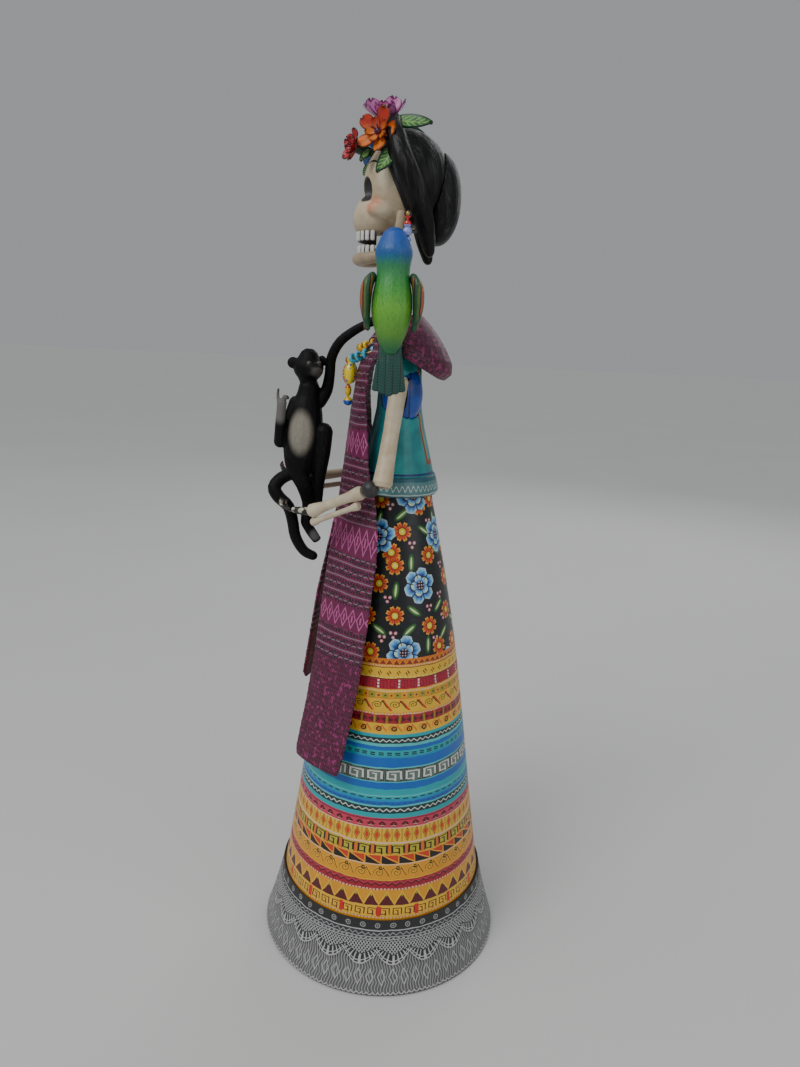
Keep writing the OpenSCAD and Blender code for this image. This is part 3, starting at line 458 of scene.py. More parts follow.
YELLOW = (0.93, 0.55, 0.03)
GOLD = (0.85, 0.36, 0.01)
ORANGE = (0.82, 0.2, 0.01)
VERMILION = (0.7, 0.05, 0.01)
CRIMSON = (0.42, 0.01, 0.03)
MAROON = (0.12, 0.004, 0.01)
INK = (0.01, 0.007, 0.006)
ROSE = (0.66, 0.05, 0.1)
PINK_WHITE = (0.95, 0.6, 0.42)
TURQUOISE = (0.01, 0.42, 0.48)
PALE_TURQUOISE = (0.1, 0.6, 0.6)
BLUE = (0.003, 0.14, 0.55)
DEEP_GREEN = (0.003, 0.045, 0.04)
WHITE = (0.78, 0.8, 0.76)


class Strip:
    """The painted bands of one stretch of the skirt."""

    def __init__(self, tree, bottom, top, fills):
        self.tree = tree
        self.turn, self.height = use(tree, "round place", 1.0)[:2]
        share = (self.height - bottom) / (top - bottom)
        stops = [(max(0, (z - bottom) / (top - bottom)), colour) for z, colour in fills]
        self.colour = ramp(share, stops)

    def over(self, mask, colour):
        self.colour = mixed(mask, self.colour, colour)

    def band(self, bottom, top, count):
        return use(self.tree, "band", self.turn, self.height, bottom, top, count)

    def put(self, motif, part, bottom, top, count, colour, *shape):
        """Paints one output of a motif that repeats along a band."""
        inside, across, level = self.band(bottom, top, count)
        mask = use(self.tree, motif, across, level, *shape)[part]
        self.over(mask.both(inside), colour)

    def line(self, level, half, colour):
        self.over(self.height.near(level, half), colour)

    def dots(self, level, half, count, colour, share=0.3):
        mask = use(self.tree, "dashes", self.turn, self.height, level, half, count, share)[0]
        self.over(mask, colour)


def lower_warm_bands(tree):
    fills = [(36.5, GOLD), (37.6, YELLOW), (43.0, YELLOW), (43.1, GOLD), (51.3, CRIMSON), (56.3, GOLD),
             (64.1, YELLOW), (64.8, VERMILION), (69.1, GOLD), (69.5, (0.62, 0.5, 0.03)), (74.8, YELLOW),
             (82.9, ROSE), (86.8, ROSE)]
    s = Strip(tree, 36.5, 88.5, fills)
    s.dots(37.2, 0.4, 190, PINK_WHITE, 0.28)
    s.put("meander", 0, 38.2, 42.6, 52, MAROON, 1.0)
    inside, across, level = s.band(37.9, 42.9, 17)
    s.over(inside.both(across.near(0.0, 0.055)), (0.75, 0.02, 0.01))
    s.line(43.2, 0.25, YELLOW)
    s.put("zigzag", 1, 43.5, 51.0, 42, MAROON, 0.34, 0.1)
    s.put("zigzag", 0, 43.5, 51.0, 42, YELLOW, 0.42, 0.09)
    s.put("diamond", 1, 46.4, 51.0, 42, (0.45, 0.42, 0.04), 1.9, 0.16, 0.1)
    s.dots(51.7, 0.35, 180, PINK_WHITE)
    s.put("zigzag", 0, 52.4, 56.0, 78, MAROON, 0.2, 0.12)
    s.put("zigzag", 0, 53.4, 56.6, 78, ROSE, 0.2, 0.08)
    s.line(56.4, 0.22, YELLOW)
    s.put("scroll", 0, 56.9, 63.8, 35, YELLOW, 1.15, 0.24)
    s.put("scroll", 0, 56.6, 63.4, 35, MAROON, 1.15, 0.12)
    s.put("ring", 0, 61.0, 63.9, 35, INK, 3.2, 0.24, 0.1)
    s.line(64.3, 0.25, PINK_WHITE)
    inside, across, level = s.band(64.7, 69.0, 36)
    s.over(inside.both(level.below(across * -1.0 + 0.5)), INK)
    s.over(inside.both((level + across - 0.5).near(0.12, 0.06)), YELLOW)
    s.over(inside.both(across.near(-0.46, 0.04)), GOLD)
    s.line(69.2, 0.22, YELLOW)
    inside, across, level = s.band(69.6, 74.6, 35)
    s.over(inside.both(abs(across).above(0.38)), ORANGE)
    s.over(inside.both(abs(across).near(0.38, 0.025)), MAROON)
    s.put("meander", 0, 69.6, 74.6, 35, INK, 1.05)
    s.line(75.3, 0.4, PINK_WHITE)
    inside, across, level = s.band(76.0, 82.8, 58)
    s.put("diamond", 0, 76.0, 82.8, 58, MAROON, 1.5, 0.46, 0.05)
    s.put("diamond", 1, 76.0, 82.8, 58, VERMILION, 1.5, 0.34, 0.1)
    s.over(inside.both(abs(across).above(0.44)), MAROON)
    s.over(inside.both(abs(across).above(0.47)), YELLOW)
    s.line(82.9, 0.25, PINK_WHITE)
    s.put("ring", 0, 83.2, 86.8, 51, MAROON, 1.4, 0.24, 0.14)
    s.dots(85.1, 0.2, 102, INK, 0.22)
    s.dots(84.2, 0.15, 51, PINK_WHITE, 0.2)
    s.line(87.2, 0.35, (0.3, 0.01, 0.05))
    return s.colour


def teal_bands(tree):
    fills = [(87.5, TURQUOISE), (90.4, DEEP_GREEN), (93.5, PALE_TURQUOISE), (94.3, BLUE),
             (96.2, (0.01, 0.3, 0.6)), (97.4, TURQUOISE), (98.6, PALE_TURQUOISE), (99.4, TURQUOISE),
             (102.5, BLUE), (105.9, PALE_TURQUOISE), (106.6, (0.14, 0.2, 0.17)), (112.7, PALE_TURQUOISE),
             (113.4, BLUE), (118.1, (0.01, 0.3, 0.55)), (119.0, TURQUOISE), (122.1, BLUE),
             (124.1, PALE_TURQUOISE), (125.7, DEEP_GREEN), (128.4, TURQUOISE)]
    s = Strip(tree, 87.5, 130.5, fills)
    for bottom, top in ((90.5, 93.4), (125.7, 128.3)):
        s.put("zigzag", 0, bottom, top, 80, WHITE, 0.22, 0.1)
        s.line(bottom, 0.15, INK)
        s.line(top, 0.15, INK)
    for level in (97.9, 119.9, 120.8):
        s.dots(level, 0.28, 62, INK, 0.3)
    s.dots(95.3, 0.2, 90, (0.02, 0.05, 0.2), 0.35)
    inside, across, level = s.band(106.8, 112.5, 28)
    s.over(inside.both(abs((across * 12).wrap()).below(0.22)).both(abs(across).above(0.3)), INK)
    s.over(inside.both(abs(across).near(0.33, 0.03)), INK)
    s.put("meander", 0, 106.9, 112.4, 28, WHITE, 0.98)
    s.line(106.6, 0.14, INK)
    s.line(112.6, 0.14, INK)
    return s.colour


def upper_warm_bands(tree):
    fills = [(129.8, YELLOW), (135.3, CRIMSON), (139.8, GOLD), (141.6, YELLOW), (147.2, ORANGE),
             (148.0, GOLD), (151.0, YELLOW), (152.4, (0.5, 0.01, 0.03)), (157.6, YELLOW),
             (163.0, GOLD), (164.5, ORANGE)]
    s = Strip(tree, 129.8, 167.6, fills)
    s.put("scroll", 0, 130.4, 135.0, 32, ORANGE, 1.2, 0.3)
    s.put("ring", 0, 130.6, 135.0, 32, INK, 1.5, 0.22, 0.07)
    s.put("ring", 1, 130.6, 135.0, 32, MAROON, 1.5, 0.07, 0.05)
    s.line(135.3, 0.2, YELLOW)
    inside, across, level = s.band(135.6, 139.5, 38)
    s.over(inside.both(abs(level - 0.5).below(abs(across))), MAROON)
    s.over(inside.both(abs(across).above(0.4)), GOLD)
    s.over(inside.both(abs(across).near(0.38, 0.02).either(abs(across).near(0.45, 0.02))), INK)
    s.dots(140.2, 0.35, 150, PINK_WHITE)
    s.line(141.3, 0.3, YELLOW)
    inside, across, level = s.band(141.8, 147.0, 26)
    s.over(inside.both((level * 0.5 + across).wrap().near(0.2, 0.08)), VERMILION)
    s.put("scroll", 0, 141.8, 147.0, 26, INK, 1.3, 0.16)
    s.line(147.5, 0.25, YELLOW)
    inside, across, level = s.band(148.0, 150.8, 36)
    s.over(inside.both(across.above(0.0)), (0.4, 0.36, 0.03))
    s.put("ring", 1, 148.0, 150.8, 72, MAROON, 1.1, 0.17, 0.05)
    s.dots(151.6, 0.35, 150, PINK_WHITE)
    inside, across, level = s.band(152.9, 157.3, 22)
    s.put("meander", 0, 152.9, 157.3, 44, (0.25, 0.0, 0.02), 1.0)
    s.over(inside.both(across.near(0.0, 0.05)).both(abs((level * 3).wrap()).below(0.33)), (0.95, 0.8, 0.78))
    s.line(157.6, 0.25, MAROON)
    s.put("diamond", 1, 158.2, 162.6, 47, (0.1, 0.02, 0.0), 1.2, 0.3, 0.05)
    inside, across, level = s.band(158.0, 162.8, 47)
    s.over(inside.both((level + across * 1.4).near(0.5, 0.12)), YELLOW)
    s.dots(158.3, 0.3, 94, (0.95, 0.75, 0.2))
    s.line(163.1, 0.15, MAROON)
    s.dots(163.9, 0.3, 150, PINK_WHITE)
    s.put("zigzag", 1, 164.6, 167.3, 65, (0.3, 0.03, 0.01), 0.4, 0.1)
    s.put("zigzag", 0, 164.6, 167.3, 65, GOLD, 0.4, 0.09)
    return s.colour


def floral_ground(tree):
    where = use(tree, "round place", 0.6)
    shade = noise(tree, 320, 2)
    colour = mixed(shade.soft(0.5, 0.8), (0.004, 0.004, 0.006), (0.003, 0.02, 0.02))
    dots = [(85, 196), (39, 191), (2, 179), (82, 177), (56, 196), (58, 185), (44, 175), (22, 222), (52, 232),
            (14, 243), (66, 210), (80, 240)]
    leaves = [[(3, 200), (35, 173), (66, 233), (20, 213)],
              [(22, 190), (79, 181), (42, 228), (60, 218)],
              [(17, 181), (52, 191), (56, 177), (85, 226), (8, 236)]]
    for turned, group_places in zip((1.5, -0.6, 0.7), leaves):
        x, y = nearest(tree, where, group_places, 4)
        tint, mask = use(tree, "painted leaf", x, y, turned)
        colour = mixed(mask, colour, tint)
    x, y = nearest(tree, where, dots, 4)
    tint, mask = use(tree, "berries", x, y)
    colour = mixed(mask, colour, tint)
    daisies = [(3, 188), (1, 212), (38, 182), (75, 203), (73, 170), (48, 171), (9, 228), (45, 216), (66, 187),
               (86, 218), (64, 243), (36, 240)]
    x, y = nearest(tree, where, daisies, 4)
    tint, mask = use(tree, "daisy", x, y, 5.3)
    colour = mixed(mask, colour, tint)
    peonies = [(30, 202), (12, 170), (67, 225), (27, 245), (58, 160)]
    x, y = nearest(tree, where, peonies, 4)
    tint, mask = use(tree, "peony", x, y, 9.2)
    return mixed(mask, colour, tint)


def lace(tree):
    """Printed lace: round holes, a crossed net, scallops with petals, and fine wavy strokes below."""
    # The first stop, the darkest grey from 0 to 0.7 mm at the very foot, is painted shadow where the skirt
    # stands on the floor.
    fills = [(0.0, (0.03, 0.03, 0.03)), (0.7, (0.12, 0.12, 0.12)), (16.0, (0.1, 0.1, 0.1)),
             (26.5, (0.04, 0.04, 0.045)), (31.9, (0.02, 0.02, 0.022))]
    s = Strip(tree, 0, 36.6, fills)
    pale = (0.55, 0.56, 0.55)
    grey = (0.36, 0.36, 0.36)
    s.put("ring", 0, 32.2, 36.0, 45, grey, 1.9, 0.28, 0.06)
    s.put("ring", 1, 32.2, 36.0, 45, grey, 1.9, 0.1, 0.06)
    s.line(31.6, 0.25, pale)
    s.put("zigzag", 0, 28.8, 31.0, 110, grey, 0.3, 0.14)
    s.line(28.5, 0.18, pale)
    s.dots(27.8, 0.22, 150, pale, 0.25)
    s.line(27.1, 0.2, pale)
    inside, across, level = s.band(14.5, 26.6, 22)
    bow = abs(across) * abs(across) * 1.9
    scallop = level.above(bow + 0.06)
    one_way = abs((across * 10 + level * 6).wrap()).below(0.13)
    other_way = abs((across * 10 - level * 6).wrap()).below(0.13)
    net = level.above(0.45 + abs(across) * 0.6)
    s.over(inside.both(scallop), (0.03, 0.03, 0.03))
    s.over(inside.both(one_way.either(other_way)).both(net), pale)
    for size, thick in ((0.08, 0.024), (0.2, 0.02)):
        s.over(inside.both(abs(level - bow - size).below(thick)), pale)
    ray = (across.op("ARCTAN2", level - 1.1) * 5.6).wrap()
    fan = inside.both(scallop).both(level.below(0.42 + abs(across) * 0.6)).both(abs(ray).below(0.15))
    s.over(fan, pale)
    beads = abs((across * 14).wrap()).below(0.3).both(abs(level - bow + 0.02).below(0.03))
    s.over(inside.both(beads), INK)
    under, across, level = s.band(2.6, 20.0, 260)
    curl = (s.height * 0.9 + noise(tree, 40, 1) * 9).op("SINE") * 0.3
    stroke = abs((across + curl).wrap()).below(0.17)
    open_ground = under.both(1 - inside.both(scallop))
    s.over(open_ground.both(stroke), grey)
    petals = abs((s.turn * 66).wrap()) * 3.4 + abs(s.height - 9.5) * 0.3
    s.over(abs(petals - 1.1).below(0.12), pale)
    s.put("zigzag", 0, 0.9, 2.9, 150, pale, 0.3, 0.18)
    return s.colour


def plain_paint(colour, spread=0.25, scale=120):
    """One paint with darker and lighter passages of the brush."""
    def build(tree):
        patch = noise(tree, scale, 3)
        dark = tuple(c * (1 - spread) for c in colour)
        light = tuple(min(1, c * (1 + spread) + 0.01) for c in colour)
        return mixed(patch.soft(0.3, 0.7), dark, light)
    return build


def bone_colour(tree):
    """Ivory with brown washes and small paler patches."""
    wash = noise(tree, 90, 4)
    fine = noise(tree, 420, 3)
    colour = mixed(wash.soft(0.35, 0.75), (0.76, 0.66, 0.47), (0.55, 0.42, 0.26))
    return mixed(fine.soft(0.6, 0.9) * 0.5, colour, (0.8, 0.72, 0.55))


def spot(tree, centre, size, low=0.75, high=1.0):
    """A soft oval mask about a point given in millimetres over the waist."""
    x, y, z = place(tree)
    a = (x - centre[0]) / size[0]
    b = (y - centre[1]) / size[1]
    c = (z - centre[2] - waist / mm) / size[2]
    return 1 - (a * a + b * b + c * c).op("SQRT").soft(low, high)


def skull_colour(tree):
    """Bone with rouged cheeks, dark sockets and nose, thin brows, and browner and darker towards the bottom.
    """
    colour = bone_colour(tree)
    for side in (-1, 1):
        rouge = spot(tree, (side * 12, -17, 137.5), (5.5, 7, 5.5), 0.2, 1.0)
        colour = mixed(rouge * 0.75, colour, (0.85, 0.26, 0.13))
        socket_edge = spot(tree, (side * 7.2, -21.5, 144.5), (5.6, 8, 5.8), 0.86, 1.0)
        colour = mixed(socket_edge, colour, (0.045, 0.04, 0.04))
        socket = spot(tree, (side * 7.2, -19.0, 144.5), (4.8, 6, 5.0), 0.5, 1.0)
        colour = mixed(socket, colour, (0.005, 0.005, 0.006))
        brow = spot(tree, (side * 8, -17, 152.2), (7, 9, 4.4), 0.95, 1.0)
        cut = spot(tree, (side * 8, -17, 151.2), (7.4, 10, 4.5), 0.97, 1.0)
        colour = mixed(brow.both(1 - cut), colour, (0.02, 0.012, 0.01))
    colour = mixed(spot(tree, (0, -25.5, 136), (3.0, 6, 4.2), 0.75, 1.0), colour, (0.01, 0.008, 0.008))
    # Below the cheeks the face turns browner and darker towards the bottom.
    upper_face = (place(tree)[2] - waist / mm).soft(124, 136)
    return mixed((1 - upper_face) * 0.65, colour, (0.3, 0.2, 0.12))


def hair_colour(tree):
    """Glossy black with fine grey strands that follow the lie of the hair."""
    x, y, z = place(tree)
    flow = vector(tree, x * 0.9, y * 0.9 + z * 0.25, z * 0.06)
    strands = noise(tree, 1.3, 3, at=flow)
    folds = noise(tree, 0.22, 1, at=vector(tree, x, y + z * 0.2, z * 0.12))
    grey = strands.soft(0.35, 0.8) * folds.soft(0.52, 0.72)
    colour = mixed(grey, (0.002, 0.002, 0.002), (0.075, 0.075, 0.08))
    return colour, strands * 0.8 + folds * 3.0


def fur_colour(tree):
    x, y, z = place(tree)
    hairs = noise(tree, 1.6, 3, at=vector(tree, x * 1.1, y * 1.1, z * 0.3))
    sheen = noise(tree, 90, 2)
    colour = mixed(hairs.soft(0.55, 0.85) * sheen.soft(0.4, 0.7), (0.003, 0.003, 0.003), (0.05, 0.05, 0.05))
    belly_patch = spot(tree, (14, -48, 33), (7.8, 7.8, 13.5), 0.5, 1.0)
    colour = mixed(belly_patch * (0.6 + hairs * 0.5), colour, (0.36, 0.33, 0.27))
    face = spot(tree, (14.5, -39.6, 61.4), (5, 5, 4), 0.5, 1.0)
    colour = mixed(face * 0.4, colour, (0.16, 0.15, 0.14))
    palm = spot(tree, (11, -58, 45), (5, 5, 10), 0.6, 1.0)
    colour = mixed(palm * 0.8, colour, (0.22, 0.21, 0.2))
    sole = spot(tree, (5, -40.5, -19), (4, 4, 4), 0.4, 1.0)
    return mixed(sole * 0.7, colour, (0.22, 0.22, 0.22)), hairs * 0.8


def parrot_colour(tree):
    x, y, z = place(tree)
    rise = (z - waist / mm - 74) / 48
    barbs = noise(tree, 1.5, 2, at=vector(tree, x * 1.0, y * 1.0, z * 0.4))
    colour = ramp(rise + (barbs - 0.5) * 0.12, [(0.0, (0.02, 0.2, 0.06)), (0.12, (0.12, 0.36, 0.03)),
                  (0.35, (0.16, 0.5, 0.04)), (0.52, (0.05, 0.36, 0.04)), (0.72, (0.02, 0.24, 0.09)),
                  (0.82, (0.01, 0.12, 0.4)), (0.98, (0.01, 0.1, 0.5))], "LINEAR")
    colour = mixed(barbs.soft(0.5, 0.8) * 0.5, colour, (0.01, 0.09, 0.03))
    beak = x.below(29.4).both(z.above(waist / mm + 108))
    colour = mixed(beak, colour, (0.06, 0.05, 0.045))
    for side in (-1, 1):
        eye = spot(tree, (30.6, parrot_y + side * 6.2, 116.5), (2.2, 2.4, 2.2), 0.9, 1.0)
        colour = mixed(eye, colour, (0.8, 0.72, 0.5))
        pupil = spot(tree, (30.6, parrot_y + side * 6.2, 116.5), (1.2, 2.6, 1.2), 0.9, 1.0)
        colour = mixed(pupil, colour, INK)
    return colour, barbs


def wing_colour(tree):
    """Orange-red edges, with olive and dark green feathers that run down between them."""
    x, y, z = place(tree)
    wave = (noise(tree, 160, 2) - 0.5) * 1.2
    out = abs(y - parrot_y) + wave
    barbs = noise(tree, 1.2, 2, at=vector(tree, x * 1.5, y * 1.5, z * 0.3))
    colour = ramp((out - 8) / 7, [(0.0, (0.62, 0.1, 0.01)), (0.16, (0.02, 0.02, 0.01)),
                                  (0.24, (0.01, 0.09, 0.03)), (0.42, (0.1, 0.16, 0.02)),
                                  (0.56, (0.01, 0.02, 0.01)), (0.64, (0.55, 0.1, 0.01)),
                                  (0.78, (0.01, 0.06, 0.03))])
    low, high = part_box("parrot_wings")
    reach = (x + wave * 0.5 - low.x / mm) / ((high.x - low.x) / mm)
    side_face = 1 - reach.soft(0.72, 0.8)
    quill = abs((reach * 5 + (z * 0.1).op("SINE") * 0.15).wrap())
    feathers = mixed(quill.soft(0.1, 0.45), (0.01, 0.11, 0.035), (0.003, 0.03, 0.02))
    feathers = mixed(reach.below(0.2), feathers, (0.55, 0.1, 0.01))
    colour = mixed(side_face, colour, feathers)
    return mixed(barbs.soft(0.5, 0.8) * 0.5, colour, (0.003, 0.03, 0.012)), barbs


def tail_colour(tree):
    y, z = place(tree)[1:]
    barbs = abs((z * 0.8 + abs((y * 0.4).wrap()) * 2.5).wrap())
    colour = mixed(barbs.soft(0.1, 0.4), (0.003, 0.03, 0.025), (0.01, 0.12, 0.09))
    quills = abs(((y - parrot_y) * 0.3).wrap())
    colour = mixed(quills.below(0.05), colour, (0.002, 0.01, 0.01))
    return colour, barbs


def shawl_colour(turned, knit_top):
    """A knitted ground, and over it woven bands: grey lines, black dashes and pink diamonds."""
    pink = (0.6, 0.12, 0.34)

    def build(tree):
        x, y, z = place(tree)
        across = x * math.cos(turned) + y * math.sin(turned)
        thread = noise(tree, 500, 2)
        height = z + (noise(tree, 50, 1) - 0.5) * 1.6
        colour = mixed(thread.soft(0.35, 0.7), (0.13, 0.008, 0.05), (0.26, 0.016, 0.11))
        rows = abs((height / 3.4).wrap())
        upper = height.above(knit_top)
        colour = mixed(rows.above(0.42).both(upper), colour, (0.24, 0.19, 0.22))
        step = abs((across * 0.5 + height.op("FLOOR") * 0.37).wrap())
        dash = rows.below(0.2).both(step.below(0.3))
        colour = mixed(dash.both(upper), colour, INK)
        wave = (across * 0.9).op("SINE") * 0.12
        colour = mixed((abs((height / 6.8).wrap() + wave)).below(0.05).both(upper), colour, INK)
        for bottom, top in ((180, 192), (215, 231), (263, 276)):
            inside = upper.both(height.above(bottom)).both(height.below(top))
            cell_x = (across / 5.4).wrap()
            cell_y = (height - bottom) / (top - bottom)
            edge = abs(abs(cell_x) * 0.9 + abs(cell_y - 0.5) - 0.38)
            colour = mixed(inside, colour, (0.17, 0.008, 0.07))
            colour = mixed(inside.both(edge.below(0.055)), colour, pink)
            heart = abs(cell_x).below(0.08).both(abs(cell_y - 0.5).below(0.14))
            colour = mixed(inside.both(heart), colour, pink)
        rib = abs((across * 0.62).wrap())
        knit = abs((height * 0.45 + rib * 1.6).wrap())
        lower_part = 1 - upper
        colour = mixed(lower_part.both(knit.below(0.17)), colour, (0.03, 0.003, 0.014))
        colour = mixed(lower_part.both(rib.below(0.07)), colour, (0.05, 0.004, 0.02))
        colour = mixed(lower_part.both(thread.above(0.62)), colour, (0.34, 0.03, 0.16))
        relief = (1 - rows) * upper + (1 - knit.below(0.17)) * lower_part
        return colour, relief * 1.2
    return build


def blouse_colour(tree):
    x, y, z = place(tree)
    level = z - waist / mm
    wash = noise(tree, 110, 3)
    colour = mixed(wash.soft(0.3, 0.7), (0.003, 0.22, 0.24), (0.01, 0.36, 0.36))
    back = y.above(4)
    upright = abs(x).near(9.5, 1.3).both(level.above(20))
    crossbar = level.near(21, 1.3).both(abs(x).below(9.5))
    colour = mixed(back.both(upright.either(crossbar)), colour, (0.28, 0.05, 0.02))
    inner = abs(x).near(8.6, 0.25).both(level.above(22))
    colour = mixed(back.both(inner), colour, (0.75, 0.5, 0.05))
    return mixed(level.near(15.6, 0.5), colour, (0.003, 0.02, 0.16))


def hem_colour(tree):
    turn, height = use(tree, "round place", 1.0)[:2]
    level = height - waist / mm
    colour = mixed(level.above(12.2), (0.09, 0.24, 0.25), (0.01, 0.12, 0.16))
    wave = abs(level - 9.2 - (turn * 320).op("SINE") * 1.1)
    colour = mixed(wave.below(0.35), colour, (0.6, 0.66, 0.62))
    colour = mixed(level.near(6.2, 0.3), colour, (0.5, 0.6, 0.58))
    return mixed(level.below(5.4), colour, (0.01, 0.08, 0.1))


def armhole_colour(tree):
    line = abs((place(tree)[1] + 1) * 0.33).near(1.6, 0.1)
    return mixed(line, plain_paint((0.004, 0.07, 0.42), 0.3)(tree), (0.004, 0.01, 0.08))


def hand_colour(mark):
    """Dark hands with a painted bone on each finger."""
    def build(tree):
        cells = tree.nodes.new("ShaderNodeTexVoronoi")
        cells.inputs["Scale"].default_value = 330
        source = tree.nodes.new("ShaderNodeTexCoord")
        tree.links.new(source.outputs["Object"], cells.inputs["Vector"])
        mask = 1 - Value(tree, cells.outputs["Distance"]).soft(0.34, 0.42)
        return mixed(mask, (0.02, 0.018, 0.018), mark)
    return build


def wood(name, light, dark):
    material, tree, shader = finish_of(name)
    x, y, z = place(tree)
    grain = noise(tree, 1, 4, at=vector(tree, x * 0.02, y * 0.35, z * 0.35))
    colour = mixed(grain.soft(0.35, 0.65), light, dark)
    set_up(tree, shader, colour, 0.55 + grain * 0.2, grain, 0.2 * mm)
    return material


def cardboard(name, light, dark):
    material, tree, shader = finish_of(name)
    fibres = noise(tree, 500, 4)
    ribs = abs((place(tree)[2] * 0.4).wrap())
    colour = mixed(fibres.soft(0.3, 0.7), light, dark)
    set_up(tree, shader, colour, 0.8 + fibres * 0.1, fibres + ribs * 0.3, 0.1 * mm)
    return material


def wire_metal(name, colour):
    material, tree, shader = finish_of(name)
    tarnish = noise(tree, 600, 3)
    dull = tuple(c * 0.5 for c in colour)
    worn = mixed(tarnish.soft(0.45, 0.75), colour, dull)
    set_up(tree, shader, worn, 0.28 + tarnish * 0.25, tarnish, 0.05 * mm, 1.0)
    return material


def glass_bead(name, make_colour):
    """Opaque glazed beads."""
    material, tree, shader = finish_of(name)
    colour = make_colour(tree)
    flow = noise(tree, 700, 2)
    set_up(tree, shader, toned(colour, 0.8 + flow * 0.4), 0.12 + flow * 0.12, flow, 0.06 * mm)
    shader.inputs["Coat Weight"].default_value = 0.6
    shader.inputs["Coat Roughness"].default_value = 0.06
    return material


def dotted(ground, dot, scale=520, size=0.3):
    def build(tree):
        cells = tree.nodes.new("ShaderNodeTexVoronoi")
        cells.inputs["Scale"].default_value = scale
        cells.inputs["Randomness"].default_value = 0.35
        source = tree.nodes.new("ShaderNodeTexCoord")
        tree.links.new(source.outputs["Object"], cells.inputs["Vector"])
        return mixed(Value(tree, cells.outputs["Distance"]).below(size), ground, dot)
    return build


def earring_colour(tree):
    level = place(tree)[2] - waist / mm
    share = (level - 111) / 22
    return ramp(share, [(0.0, (0.85, 0.62, 0.02)), (0.2, (0.03, 0.03, 0.04)), (0.27, (0.85, 0.75, 0.3)),
                        (0.34, (0.2, 0.3, 0.75)), (0.52, (0.02, 0.02, 0.02)), (0.55, (0.28, 0.36, 0.82)),
                        (0.75, (0.6, 0.02, 0.02)), (0.92, (0.02, 0.02, 0.02))])


def middle_pendant_colour(tree):
    level = place(tree)[2] - waist / mm
    spots = dotted((0.6, 0.13, 0.02), (0.85, 0.75, 0.6), 620, 0.22)(tree)
    colour = mixed(level.below(54.6), spots, (0.9, 0.62, 0.02))
    return mixed(level.below(48.6), colour, (0.02, 0.12, 0.6))


# ---- modelling

def deselect():
    bpy.ops.object.select_all(action="DESELECT")


def only(obj):
    deselect()
    obj.select_set(True)
    bpy.context.view_layer.objects.active = obj


def finished(obj, name, material, stands_for=()):
    """Names the piece, puts its place into its mesh, and gives it its paint and body."""
    only(obj)
    bpy.ops.object.transform_apply(location=True, rotation=True, scale=True)
    obj.name = name
    obj.data.name = name
    obj.data.materials.clear()
    obj.data.materials.append(material)
    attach(obj, "figure")
    if stands_for:
        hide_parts(*stands_for)


def with_modifier(obj, kind, **settings):
    only(obj)
    modifier = obj.modifiers.new(kind.lower(), kind)
    for key, setting in settings.items():
        setattr(modifier, key, setting)
    bpy.ops.object.modifier_apply(modifier=modifier.name)


def smooth(obj, angle=None):
    only(obj)
    if angle is None:
        bpy.ops.object.shade_smooth()
    else:
        bpy.ops.object.shade_smooth_by_angle(angle=math.radians(angle))
    return obj


def joined(pieces):
    deselect()
    for piece in pieces:
        piece.select_set(True)
    bpy.context.view_layer.objects.active = pieces[0]
    if len(pieces) > 1:
        bpy.ops.object.join()
    return bpy.context.view_layer.objects.active


def in_edit(obj, work):
    only(obj)
    bpy.ops.object.mode_set(mode="EDIT")
    bpy.ops.mesh.select_all(action="SELECT")
    work()
    bpy.ops.object.mode_set(mode="OBJECT")


def turned_piece(rows, sides=160, wall=None):
    """A turned shell: a ring that is extruded and scaled from row to row, each (radius, height)."""
    deselect()
    first_r, first_z = rows[0]
    bpy.ops.mesh.primitive_circle_add(vertices=sides, radius=first_r, location=(0, 0, first_z))
    obj = bpy.context.object
    bpy.ops.object.mode_set(mode="EDIT")
    bpy.ops.mesh.select_all(action="SELECT")
    for (r0, z0), (r1, z1) in zip(rows, rows[1:]):
        bpy.ops.mesh.extrude_edges_move(TRANSFORM_OT_translate={"value": (0, 0, z1 - z0)})
        bpy.ops.transform.resize(value=(r1 / r0, r1 / r0, 1), center_override=(0, 0, z1))
    bpy.ops.mesh.select_all(action="SELECT")
    bpy.ops.mesh.normals_make_consistent(inside=False)
    bpy.ops.object.mode_set(mode="OBJECT")
    bpy.ops.object.transform_apply(location=True)
    if wall:
        with_modifier(obj, "SOLIDIFY", thickness=wall, offset=-1)
    return smooth(obj, 40)


def cast_of(*names, voxel, rounds, strength=0.5):
    """The CAD solids cast as one skin of paper, with their edges rubbed down."""
    copies = []
    for name in names:
        copy = bpy.data.objects.new("cast", nodes[name].data.copy())
        bpy.context.scene.collection.objects.link(copy)
        copies.append(copy)
    obj = joined(copies)
    in_edit(obj, lambda: bpy.ops.mesh.remove_doubles(threshold=1e-6))
    with_modifier(obj, "REMESH", mode="VOXEL", voxel_size=voxel * mm)
    with_modifier(obj, "SMOOTH", factor=strength, iterations=rounds)
    return smooth(obj)


def tube(points, radii, sides=3, steps=4):
    """A round rod through points, with a radius in millimetres at each."""
    deselect()
    bpy.ops.curve.primitive_nurbs_path_add()
    obj = bpy.context.object
    curve = obj.data
    spline = curve.splines[0]
    spline.points.add(max(0, len(points) - len(spline.points)))
    while len(points) < len(spline.points):
        points = [*points, points[-1] + (points[-1] - points[-2]) * 0.02]
        radii = [*radii, radii[-1]]
    for mark, spot_at, radius in zip(spline.points, points, radii):
        mark.co = (*spot_at, 1)
        mark.radius = radius
    spline.use_endpoint_u = True
    spline.order_u = 4
    curve.dimensions = "3D"
    curve.bevel_depth = mm
    curve.bevel_resolution = sides
    curve.resolution_u = steps
    curve.use_fill_caps = True
    bpy.ops.object.convert(target="MESH")
    obj = bpy.context.object
    in_edit(obj, lambda: bpy.ops.mesh.normals_make_consistent(inside=False))
    return smooth(obj)


